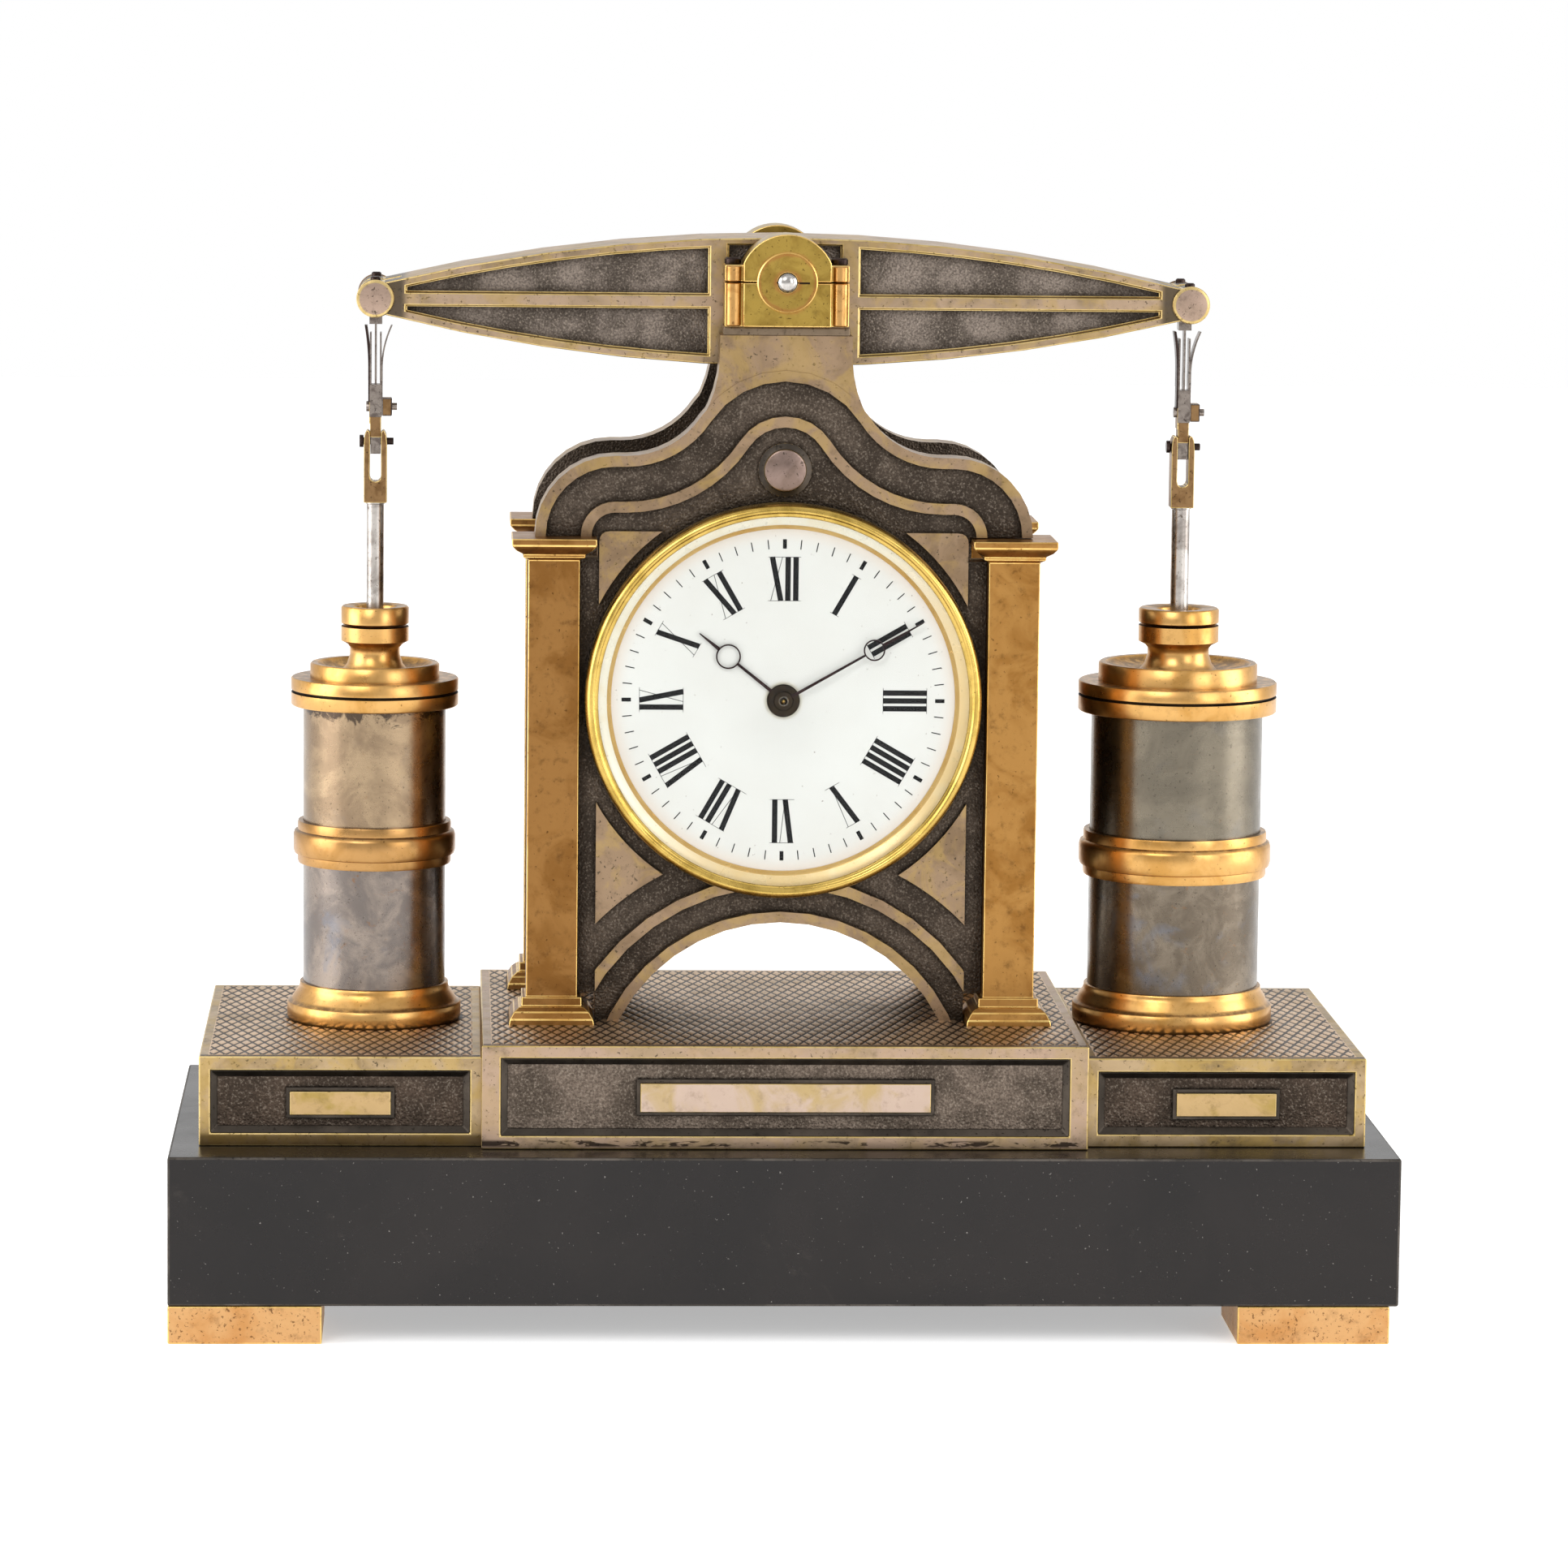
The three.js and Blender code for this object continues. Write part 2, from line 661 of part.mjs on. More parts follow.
const HOUR_HAND_Y = [-25.2, -24.6];
const MINUTE_HAND_Y = [-26.3, -25.7];
const PLANE_CANNON = [-16.4, -15.2];
const PLANE_HOUR = [-18.6, -17.4];
const FRONT_PLATE_Y = [-14, -12];
const REAR_PLATE_Y = [18, 20];
const ARBOR = 1.2;
const CANNON_MODULE = MOTION_X / 16;
const HOUR_MODULE = MOTION_X / 15;
const BARREL_MODULE = BARREL_X / 24;

// Arbor, cannon pinion, barrel-driven pinion and hand-setting knob turn as one.
const centreArbor = () =>
  join(
    diskY(ARBOR, 0, DIAL_Z, -26.8, 54, 12),
    gear(8, CANNON_MODULE, 0, DIAL_Z, ...PLANE_CANNON, 0),
    gear(8, BARREL_MODULE, 0, DIAL_Z, -10, -6, 0),
    diskY(4.5, 0, DIAL_Z, 50, 54, 16),
  );

// The minute wheel stands to the right of the arbor; half a tooth turned, it meshes.
const minuteWheel = () =>
  join(
    gear(24, CANNON_MODULE, MOTION_X, DIAL_Z, ...PLANE_CANNON, Math.PI / 2 + Math.PI / 24),
    gear(6, HOUR_MODULE, MOTION_X, DIAL_Z, -18.8, PLANE_CANNON[0] + 0.5, 0),
    diskY(0.9, MOTION_X, DIAL_Z, -19.4, FRONT_PLATE_Y[1] - 0.5, 12),
  );

const hourWheel = () =>
  cut(
    join(
      gear(24, HOUR_MODULE, 0, DIAL_Z, ...PLANE_HOUR, 0),
      diskY(2.4, 0, DIAL_Z, HOUR_HAND_Y[0], PLANE_HOUR[1], 16),
    ),
    diskY(ARBOR + RUNNING_GAP, 0, DIAL_Z, -30, 0, 16),
  );

// A spring barrel with its winding arbor; only the going barrel is toothed to the pinion.
function barrel(x, teeth, turn) {
  const body = diskY(18.8, x, DIAL_Z, -9, 13, 24);
  const arbor = join(
    diskY(2, x, DIAL_Z, -13, 48, 12),
    box(x - 1.5, x + 1.5, 47, 54, DIAL_Z - 1.5, DIAL_Z + 1.5),
  );
  const whole = join(body, arbor);
  return teeth ? join(whole, gear(teeth, BARREL_MODULE, x, DIAL_Z, -9, -7, turn)) : whole;
}

const PILLAR = { x: 20, z: 37, radius: 2.5 };
const BALANCE = { z: 32, radius: 7, y0: 22.5, y1: 24 };

// Two plates riveted to four pillars, with the cock that carries the balance.
function movementFrame() {
  const plates = join(
    diskY(DRUM_INNER - 0.3, 0, DIAL_Z, ...FRONT_PLATE_Y, 32),
    diskY(45, 0, DIAL_Z, ...REAR_PLATE_Y, 32),
  );
  const pillars = [-1, 1].flatMap((side) =>
    [-1, 1].map((end) =>
      diskY(
        PILLAR.radius,
        side * PILLAR.x,
        DIAL_Z + end * PILLAR.z,
        FRONT_PLATE_Y[1] - 1,
        REAR_PLATE_Y[0] + 1,
        8,
      ),
    ),
  );
  const cock = join(
    box(-3, 3, REAR_PLATE_Y[1] - 1, 28, DIAL_Z + 40.5, DIAL_Z + 44),
    box(-3, 3, 26, 28, DIAL_Z + BALANCE.z - 3, DIAL_Z + 44),
  );
  const holes = [
    diskY(ARBOR + RUNNING_GAP, 0, DIAL_Z, -20, 30, 12),
    diskY(0.9 + RUNNING_GAP, MOTION_X, DIAL_Z, -20, -10, 12),
    diskY(2 + RUNNING_GAP, -BARREL_X, DIAL_Z, -20, 30, 12),
    diskY(2 + RUNNING_GAP, BARREL_X, DIAL_Z, -20, 30, 12),
    diskY(0.6 + RUNNING_GAP, 0, DIAL_Z + BALANCE.z, 17, 27, 10),
  ];
  return cut(join(plates, ...pillars, cock), ...holes);
}

const balanceWheel = () =>
  join(
    ringY(BALANCE.radius - 1, BALANCE.radius, 0, DIAL_Z + BALANCE.z, BALANCE.y0, BALANCE.y1, 24),
    box(
      -BALANCE.radius + 0.5,
      BALANCE.radius - 0.5,
      BALANCE.y0 + 0.3,
      BALANCE.y1 - 0.3,
      DIAL_Z + BALANCE.z - 0.6,
      DIAL_Z + BALANCE.z + 0.6,
    ),
    diskY(0.6, 0, DIAL_Z + BALANCE.z, 19, 26.6, 10),
  );

// ---------------------------------------------------------------- beam

const beamEdge = (x) => BEAM.top - (x * x) / (2 * BEAM.bend);

function beamOutline() {
  const steps = 10;
  const reach = ARM - 2;
  const upper = [];
  for (let i = 0; i <= steps; i += 1) {
    const x = reach - (2 * reach * i) / steps;
    upper.push([x, BEAM.axisZ + beamEdge(x)]);
  }
  const lower = upper.map(([x, z]) => [-x, 2 * BEAM.axisZ - z]);
  return polygon([...upper, ...lower]);
}

// A sunk panel of one arm, above or below the middle rib.
function armPanel(side, half) {
  const inner = 22.3;
  const outer = ARM - 9;
  const rib = 1.9;
  const rim = 2.5;
  const steps = 6;
  const points = [[side * inner, BEAM.axisZ + half * rib]];
  for (let i = 0; i <= steps; i += 1) {
    const x = inner + ((outer - inner) * i) / steps;
    points.push([side * x, BEAM.axisZ + half * Math.max(beamEdge(x) - rim, rib + 0.4)]);
  }
  points.push([side * outer, BEAM.axisZ + half * rib]);
  return polygon(points);
}

const centrePanel = () =>
  polygon([[-17, 283], [17, 283], [17, BEAM.axisZ + 16.9], [-17, BEAM.axisZ + 16.9]]);

function beam() {
  const front = BEAM.y - BEAM.half;
  const back = BEAM.y + BEAM.half;
  const sides = [-1, 1];
  const panels = sides.flatMap((side) => [armPanel(side, 1), armPanel(side, -1)]);
  panels.push(centrePanel());
  const sinkings = panels.flatMap((shape) => [
    sheet(shape, front - 1, front + BEAM.panelDepth),
    sheet(shape, back - BEAM.panelDepth, back + 1),
  ]);
  const bosses = sides.map((side) =>
    diskY(END_PIN.boss, side * ARM, BEAM.axisZ, front, back, 24),
  );
  const slots = sides.map((side) =>
    box(side * ARM - 7.2, side * ARM + 7.2, BEAM.y - 3, BEAM.y + 3, 290, 310),
  );
  const pinHoles = sides.map((side) =>
    diskY(END_PIN.core + RUNNING_GAP, side * ARM, BEAM.axisZ, front - 1, back + 1, 16),
  );
  const tail = polygon([[-9, 284], [9, 284], [4.6, 244.5], [-4.6, 244.5]]);
  const slot = new THREE.Shape();
  slot.absarc(0, 263, 2.7, 0, Math.PI, false);
  slot.absarc(0, 250, 2.7, Math.PI, 2 * Math.PI, false);
  slot.closePath();
  return cut(
    join(
      sheet(beamOutline(), front, back),
      ...bosses,
      sheet(tail, BEAM.y - 2, BEAM.y + 2),
    ),
    ...sinkings,
    ...slots,
    ...pinHoles,
    sheet(slot, BEAM.y - 3, BEAM.y + 3),
    diskY(SHAFT_RADIUS + 0.05, 0, PIVOT_Z, front - 1, back + 1, SHAFT_SIDES),
  );
}

// The trunnion shaft carries the beam in both bearings; its collars stop it from sliding.
function trunnionShaft() {
  const front = BEAM.y - BEAM.half;
  const back = BEAM.y + BEAM.half;
  const frontCap = BLOCK_FRONT - 0.8;
  const rearCap = 2 * FRAME_Y - frontCap;
  return join(
    diskY(SHAFT_RADIUS, 0, PIVOT_Z, frontCap, rearCap, SHAFT_SIDES),
    ringY(SHAFT_RADIUS - 1, 5, 0, PIVOT_Z, BLOCK_BACK + 0.4, front - 0.3, SHAFT_SIDES),
    ringY(
      SHAFT_RADIUS - 1,
      5,
      0,
      PIVOT_Z,
      back + 0.3,
      2 * FRAME_Y - BLOCK_BACK - 0.4,
      SHAFT_SIDES,
    ),
  );
}

const endPin = (side) => {
  const front = BEAM.y - BEAM.half - 0.2;
  const back = BEAM.y + BEAM.half + 0.2;
  return join(
    diskY(END_PIN.disc, side * ARM, BEAM.axisZ, front - 1.1, front, 24),
    diskY(END_PIN.core, side * ARM, BEAM.axisZ, front - 0.5, back + 0.5, 16),
    diskY(END_PIN.disc, side * ARM, BEAM.axisZ, back, back + 1.1, 24),
  );
};

// The crank that rocks the beam: its pin works in the slot of the beam's tail.
const crankDisc = () =>
  join(
    diskY(2.5, 0, CRANK.z, -17.6, 5, 16),
    diskY(CRANK.disc, 0, CRANK.z, 4.4, 7.4, 32),
    diskY(1.2, 0, CRANK.z + CRANK.radius, 7, 14.5, 12),
  );

const crankBush = () =>
  turnedY(
    [
      [0, -22.6],
      [5.9, -22.6],
      [6.3, -22.2],
      [6.3, -20.2],
      [0, -20.2],
    ],
    0,
    CRANK.z,
    32,
  );

// ---------------------------------------------------------------- hanging links

// Eye, fitting, spring blades, sleeve with its bolt and nut, and brass bar.
function hangingLink(side) {
  const x = side * ARM;
  const y = BEAM.y;
  const blade = (offset, top) =>
    box(x + offset - 0.25, x + offset + 0.25, y - 2.4, y + 2.4, LINK.sleeveTop - 6, top);
  const solid = join(
    diskY(4.2, x, BEAM.axisZ, y - 2.6, y + 2.6, 20),
    box(x - 1.9, x + 1.9, y - 2.6, y + 2.6, LINK.fittingFoot, BEAM.axisZ - 2.5),
    box(x - 0.3, x + 0.3, y - 2.2, y + 2.2, LINK.sleeveTop - 1, LINK.fittingFoot + 1),
    blade(-1.5, LINK.fittingFoot - 2.5),
    blade(1.5, LINK.fittingFoot - 2.5),
    box(x - 1.8, x + 1.8, y - 3, y + 3, LINK.sleeveFoot, LINK.sleeveTop),
    box(x - 1.5, x + 1.5, y - 2.4, y + 2.4, LINK.foot, LINK.sleeveFoot + 1),
    barX(1.6, x - 2.8, x - 1.5, y, LINK.sleeveFoot + 3, 12),
    box(x + 1.5, x + 4.6, y - 2.6, y + 2.6, LINK.sleeveFoot + 0.4, LINK.sleeveFoot + 5.6),
    barX(1.1, x + 4, x + 6.4, y, LINK.sleeveFoot + 3, 12),
  );
  return cut(
    solid,
    diskY(END_PIN.core + RUNNING_GAP, x, BEAM.axisZ, y - 4, y + 4, 16),
    barX(1.2, x - 3, x + 3, y, LINK.pinZ, 12),
  );
}

function clevis(side) {
  const x = side * ARM;
  const y = BEAM.y;
  const half = CLEVIS.width / 2;
  const slot = CLEVIS.slot / 2;
  const body = box(
    x - half,
    x + half,
    y - CLEVIS.depth / 2,
    y + CLEVIS.depth / 2,
    CLEVIS.foot,
    CLEVIS.top,
  );
  return cut(
    body,
    box(x - slot, x + slot, y - 5, y + 5, CLEVIS.slotFoot, CLEVIS.top + 1),
    barX(1.2, x - 5, x + 5, y, LINK.pinZ, 12),
  );
}

const clevisPin = (side) => {
  const x = side * ARM;
  return join(
    barX(1.1, x - 4.2, x + 5.4, BEAM.y, LINK.pinZ, 12),
    barX(1.9, x - 4.8, x - 3.6, BEAM.y, LINK.pinZ, 12),
  );
};

const PISTON = { radius: 12, foot: 128, top: 138 };
const pistonRod = (side) => {
  const radius = side > 0 ? 2.75 : 2.6;
  return turnedZ(
    [
      [0, PISTON.foot],
      [PISTON.radius, PISTON.foot],
      [PISTON.radius, PISTON.top],
      [radius, PISTON.top],
      [radius, CLEVIS.foot],
      [0, CLEVIS.foot],
    ],
    side * ARM,
    BEAM.y,
    24,
  );
};

// ---------------------------------------------------------------- cylinders

function cylinderPieces(c) {
  const at = (profile) =>
    turnedZ(
      profile.map(([radius, height]) => [radius, SIDE_TOP + height]),
      c.x,
      BEAM.y,
      28,
    );
  const closed = (points) => [...points, points[0]];
  const wall = 2;
  const seat = 6;
  const base = at(
    closed([
      [c.body - 8, 0],
      [c.base, 0],
      [c.base, c.step],
      [c.base - 1, c.step + 0.7],
      [c.body + 1.5, c.step + 3.2],
      [c.body + 0.9, c.baseTop],
      [c.body + 0.1, c.baseTop],
      [c.body + 0.1, seat],
      [c.body - 8, seat],
    ]),
  );
  const barrelTube = at(
    closed([
      [c.body - wall, seat],
      [c.body, seat],
      [c.body, c.joint],
      [c.body - wall, c.joint],
    ]),
  );
  const bandHeight = c.bandTop - c.bandFoot;
  const band = at(
    closed([
      [c.body + 0.1, c.bandFoot],
      [c.band - 1.4, c.bandFoot],
      [c.band - 1.2, c.bandFoot + 0.2 * bandHeight],
      [c.band, c.bandFoot + 0.35 * bandHeight],
      [c.band, c.bandFoot + 0.65 * bandHeight],
      [c.band - 1.2, c.bandFoot + 0.8 * bandHeight],
      [c.band - 1.4, c.bandTop],
      [c.body + 0.1, c.bandTop],
    ]),
  );
  const cover = at(
    closed([
      [c.body + 0.1, c.flangeFoot],
      [c.flange, c.flangeFoot],
      [c.flange, c.joint - 0.4],
      [c.flange - 0.8, c.joint],
      [c.flange, c.joint + 0.4],
      [c.flange, c.flangeTop],
      [c.ring, c.flangeTop],
      [c.ring, c.ringTop - 1],
      [c.ring - 1.2, c.ringTop],
      [c.ring - 3, c.ringTop - 1.2],
      [c.neck + 2.5, c.ringTop - 2],
      [c.neck, c.ringTop + 1.5],
      [c.neck, c.glandFoot - 1.5],
      [c.gland - 0.8, c.glandFoot],
      [c.gland, c.glandFoot + 0.4],
      [c.gland, c.glandJoint],
      [c.bore, c.glandJoint],
      [c.bore, c.joint + 0.4],
      [c.body + 0.1, c.joint + 0.4],
    ]),
  );
  const gland = at(
    closed([
      [c.bore, c.glandJoint + 0.3],
      [c.gland - 0.8, c.glandJoint + 0.3],
      [c.gland, c.glandJoint + 0.8],
      [c.gland, c.glandTop - 0.6],
      [c.gland - 0.6, c.glandTop],
      [c.bore, c.glandTop],
    ]),
  );
  return { base, barrel: barrelTube, band, cover, gland_nut: gland };
}

// ---------------------------------------------------------------- assembly

const clock = new THREE.Group();
clock.name = "beam_engine_mantel_clock";

function add(name, solid, look) {
  const shape = solid.getMesh();
  const geometry = new THREE.BufferGeometry();
  geometry.setAttribute("position", new THREE.BufferAttribute(shape.vertProperties, 3));
  geometry.setIndex(new THREE.BufferAttribute(shape.triVerts, 1));
  geometry.computeVertexNormals();
  const material = new THREE.MeshStandardMaterial(FINISHES[look]);
  if (look === "glass") {
    material.transparent = true;
    material.opacity = 0.3;
  }
  const mesh = new THREE.Mesh(geometry, material);
  mesh.name = name;
  clock.add(mesh);
}

const SIDES = [["left", -1], ["right", 1]];
const ENDS = [["front", -1], ["rear", 1]];

add("marble_plinth", plinth(), "marble");
for (const [endName, end] of ENDS) {
  for (const [sideName, side] of SIDES) {
    add(`foot_${endName}_${sideName}`, foot(side, end), "footBrass");
    add(
      `pilaster_${endName}_${sideName}`,
      pilaster(side * PILASTER.x, FRAME_Y + end * PILASTER.y),
      "gilt",
    );
  }
}
add("centre_pedestal", centrePedestal(), "silvered");
add("left_pedestal", sidePedestal(-1), "silvered");
add("right_pedestal", sidePedestal(1), "silvered");

add("front_frame_plate", framePlate(true), "patina");
add("rear_frame_plate", toRear(framePlate(false)), "patina");
add("front_bearing_block", bearingBlock(), "brass");
add("front_bearing_cap", bearingCap(), "brass");
add("rear_bearing_block", toRear(bearingBlock()), "brass");
add("rear_bearing_cap", toRear(bearingCap()), "brass");
for (const [sideName, side] of SIDES) {
  add(`front_cap_screw_${sideName}`, capScrew(side), "darkSteel");
  add(`rear_cap_screw_${sideName}`, toRear(capScrew(side)), "darkSteel");
}
add("crank_bush", crankBush(), "silvered");

add("drum_case", drumCase(), "movement");
add("back_door", backDoor(), "bezel");
add("front_bezel", bezel(), "bezel");
add("dial_glass", dialGlass(), "glass");
add("dial", dial(), "enamel");

add("movement_frame", movementFrame(), "movement");
add("centre_arbor", centreArbor(), "steel");
add("minute_wheel", minuteWheel(), "movement");
add("hour_wheel", hourWheel(), "movement");
add("going_barrel", barrel(-BARREL_X, 40, Math.PI / 2 + Math.PI / 40), "movement");
add("automaton_barrel", barrel(BARREL_X, 0, 0), "movement");
add("balance_wheel", balanceWheel(), "movement");
add("minute_hand", hand(MINUTE_HAND, 3.2, 1.25, MINUTE_ANGLE, ...MINUTE_HAND_Y), "darkSteel");
add("hour_hand", hand(HOUR_HAND, 4.7, 2.45, HOUR_ANGLE, ...HOUR_HAND_Y), "darkSteel");

add("beam", beam(), "silvered");
add("trunnion_shaft", trunnionShaft(), "steel");
add("crank_disc", crankDisc(), "steel");
for (const [sideName, side] of SIDES) {
  add(`${sideName}_end_pin`, endPin(side), "silvered");
  add(`${sideName}_hanging_link`, hangingLink(side), "steel");
  add(`${sideName}_clevis`, clevis(side), "brass");
  add(`${sideName}_clevis_pin`, clevisPin(side), "darkSteel");
  add(`${sideName}_piston_rod`, pistonRod(side), "steel");
}

const CYLINDER_LOOKS = {
  base: "ring",
  barrel: "gunmetal",
  band: "ring",
  cover: "ring",
  gland_nut: "ring",
};
for (const [sideName, spec] of [["left", LEFT_CYLINDER], ["right", RIGHT_CYLINDER]]) {
  for (const [piece, solid] of Object.entries(cylinderPieces(spec))) {
    add(`${sideName}_cylinder_${piece}`, solid, CYLINDER_LOOKS[piece]);
  }
}

export default clock;
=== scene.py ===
"""Looks of the beam-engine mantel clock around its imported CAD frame."""
import math

import bmesh
import bpy
from mathutils import Matrix, Vector


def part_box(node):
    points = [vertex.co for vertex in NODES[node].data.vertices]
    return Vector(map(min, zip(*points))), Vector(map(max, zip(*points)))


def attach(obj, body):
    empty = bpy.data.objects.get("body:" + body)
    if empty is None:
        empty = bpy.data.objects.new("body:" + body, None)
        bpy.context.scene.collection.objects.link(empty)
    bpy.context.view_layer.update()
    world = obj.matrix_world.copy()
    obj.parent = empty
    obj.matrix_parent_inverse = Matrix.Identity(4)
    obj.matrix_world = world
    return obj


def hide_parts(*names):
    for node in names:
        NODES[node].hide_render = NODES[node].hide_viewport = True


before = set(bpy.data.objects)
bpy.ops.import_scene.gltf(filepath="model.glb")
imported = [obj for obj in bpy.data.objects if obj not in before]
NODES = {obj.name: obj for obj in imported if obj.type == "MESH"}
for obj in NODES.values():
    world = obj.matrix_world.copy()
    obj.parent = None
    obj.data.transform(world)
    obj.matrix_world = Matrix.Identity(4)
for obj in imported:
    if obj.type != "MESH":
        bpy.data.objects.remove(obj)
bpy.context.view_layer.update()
MM = 0.001


# ------------------------------------------------------------------ placed sizes, from the frame

def box_mm(node):
    lo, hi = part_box(node)
    return lo / MM, hi / MM


def middle(node):
    lo, hi = box_mm(node)
    return (lo + hi) / 2


DIAL_C = middle("dial")
DIAL_FRONT = box_mm("dial")[0].y
FRAME_Y = (box_mm("front_frame_plate")[0].y + box_mm("rear_frame_plate")[1].y) / 2
PLATE_FACE = box_mm("front_frame_plate")[0].y
PLATE_HALF = FRAME_Y - PLATE_FACE
BEAM_Y = middle("beam").y
BEAM_HALF = (box_mm("beam")[1].y - box_mm("beam")[0].y) / 2
PIVOT = middle("trunnion_shaft")
SIDE_TOP = box_mm("left_pedestal")[1].z
CENTRE_TOP = box_mm("centre_pedestal")[1].z


# ------------------------------------------------------------------ node materials

def srgb(r, g, b):
    def linear(c):
        c /= 255
        return c / 12.92 if c <= 0.04045 else ((c + 0.055) / 1.055) ** 2.4

    return (linear(r), linear(g), linear(b), 1.0)


class Paint:
    """A material's node tree, built with short calls."""

    def __init__(self, name):
        self.mat = bpy.data.materials.new(name)
        self.mat.use_nodes = True
        self.tree = self.mat.node_tree
        self.tree.nodes.clear()
        self.coords = self.tree.nodes.new("ShaderNodeTexCoord")
        self.at = self.coords.outputs["Object"]

    def put(self, socket, value):
        if isinstance(value, bpy.types.NodeSocket):
            self.tree.links.new(value, socket)
        else:
            socket.default_value = value

    def math(self, op, a, b=0.0, c=0.0):
        n = self.tree.nodes.new("ShaderNodeMath")
        n.operation = op
        self.put(n.inputs[0], a)
        self.put(n.inputs[1], b)
        self.put(n.inputs[2], c)
        return n.outputs[0]

    def wander(self, size_mm, swing, base, detail=4, rough=0.6):
        """A value that wanders from base up to base + swing."""
        return self.math("MULTIPLY_ADD", self.noise(size_mm, detail, rough), swing, base)

    def times(self, a, b):
        return self.math("MULTIPLY", a, b)

    def stretch(self, scale):
        n = self.tree.nodes.new("ShaderNodeMapping")
        self.put(n.inputs["Vector"], self.at)
        n.inputs["Scale"].default_value = scale
        return n.outputs[0]

    def noise(self, size_mm, detail=3.0, rough=0.55, warp=0.0, at=None):
        n = self.tree.nodes.new("ShaderNodeTexNoise")
        self.put(n.inputs["Vector"], at or self.at)
        n.inputs["Scale"].default_value = 1000.0 / size_mm
        n.inputs["Detail"].default_value = detail
        n.inputs["Roughness"].default_value = rough
        n.inputs["Distortion"].default_value = warp
        return n.outputs["Fac"]

    def cells(self, size_mm, feature="F1", at=None):
        n = self.tree.nodes.new("ShaderNodeTexVoronoi")
        n.feature = feature
        self.put(n.inputs["Vector"], at or self.at)
        n.inputs["Scale"].default_value = 1000.0 / size_mm
        return n.outputs["Distance"]

    def band(self, value, low, high):
        """0 below low, 1 above high, smooth between; works downwards too."""
        n = self.tree.nodes.new("ShaderNodeMapRange")
        n.interpolation_type = "SMOOTHSTEP"
        self.put(n.inputs["Value"], value)
        n.inputs["From Min"].default_value = low
        n.inputs["From Max"].default_value = high
        return n.outputs[0]

    def mix(self, fac, a, b):
        n = self.tree.nodes.new("ShaderNodeMix")
        n.data_type = "RGBA"
        self.put(n.inputs[0], fac)
        self.put(n.inputs[6], a)
        self.put(n.inputs[7], b)
        return n.outputs[2]

    def axis(self, index, source=None):
        n = self.tree.nodes.new("ShaderNodeSeparateXYZ")
        self.put(n.inputs[0], source or self.at)
        return n.outputs[index]

    def facing(self, index):
        """How squarely the surface faces along an axis, from 0 to 1."""
        return self.math("ABSOLUTE", self.axis(index, self.coords.outputs["Normal"]))

    def nook(self, reach_mm):
        """0 in the open, 1 in corners and beside raised edges; it drives painted shade."""
        n = self.tree.nodes.new("ShaderNodeAmbientOcclusion")
        n.samples = 6
        n.inputs["Distance"].default_value = reach_mm * MM
        return self.band(n.outputs["AO"], 0.92, 0.5)

    def bump(self, height, depth_mm, strength=1.0, after=None):
        n = self.tree.nodes.new("ShaderNodeBump")
        n.inputs["Strength"].default_value = strength
        n.inputs["Distance"].default_value = depth_mm * MM
        self.put(n.inputs["Height"], height)
        if after is not None:
            self.put(n.inputs["Normal"], after)
        return n.outputs[0]

    def done(self, color, rough, metallic=1.0, normal=None, **extra):
        n = self.tree.nodes.new("ShaderNodeBsdfPrincipled")
        out = self.tree.nodes.new("ShaderNodeOutputMaterial")
        self.put(n.inputs["Base Color"], color)
        self.put(n.inputs["Roughness"], rough)
        n.inputs["Metallic"].default_value = metallic
        if normal is not None:
            self.put(n.inputs["Normal"], normal)
        for key, value in extra.items():
            n.inputs[key.replace("_", " ")].default_value = value
        self.tree.links.new(n.outputs[0], out.inputs["Surface"])
        return self.mat


def aged(p, main, second, dark, patch_mm=22.0, fleck_mm=1.1, fleck=0.62, grime=0.45):
    """Colour of worn plated metal: broad patches, streaks, small dark flecks."""
    broad = p.band(p.noise(patch_mm, 4, 0.6, 0.6), 0.42, 0.66)
    color = p.mix(broad, main, second)
    fine = p.band(p.noise(3.2, 5, 0.7), 0.5, 0.78)
    color = p.mix(p.times(fine, grime), color, dark)
    spots = p.band(p.noise(fleck_mm, 2, 0.6), fleck, fleck + 0.09)
    return p.mix(p.times(spots, 0.75), color, dark)


def worn_metal(name, main, second, dark, rough=0.34, metallic=1.0, extra=None, **patch):
    """Brushed and flecked metal; patch goes to aged, extra to the shader's own sockets."""
    p = Paint(name)
    color = aged(p, main, second, dark, **patch)
    roughness = p.wander(5, 0.3, rough - 0.12)
    scratches = p.noise(1.2, 2, 0.6, at=p.stretch((0.12, 1, 1)))
    normal = p.bump(scratches, 0.02, 0.5)
    normal = p.bump(p.noise(0.5, 3, 0.6), 0.02, 0.5, normal)
    return p.done(color, roughness, metallic, normal, **(extra or {}))


PINK_SILVER = srgb(190, 165, 140)
GREY_SILVER = srgb(162, 140, 112)
OLIVE = srgb(182, 152, 86)
SOOT = srgb(58, 50, 42)
FIELD = srgb(116, 103, 92)
FIELD_DARK = srgb(86, 76, 67)
GRAIN_DARK = srgb(44, 38, 33)
GLINT_SPECK = srgb(160, 148, 134)
PAINTED_CORNER_SHADE = srgb(38, 33, 28)
SCRATCH = srgb(34, 26, 24)
FOOT_OLIVE = srgb(82, 62, 30)
TARNISH = srgb(66, 60, 52)


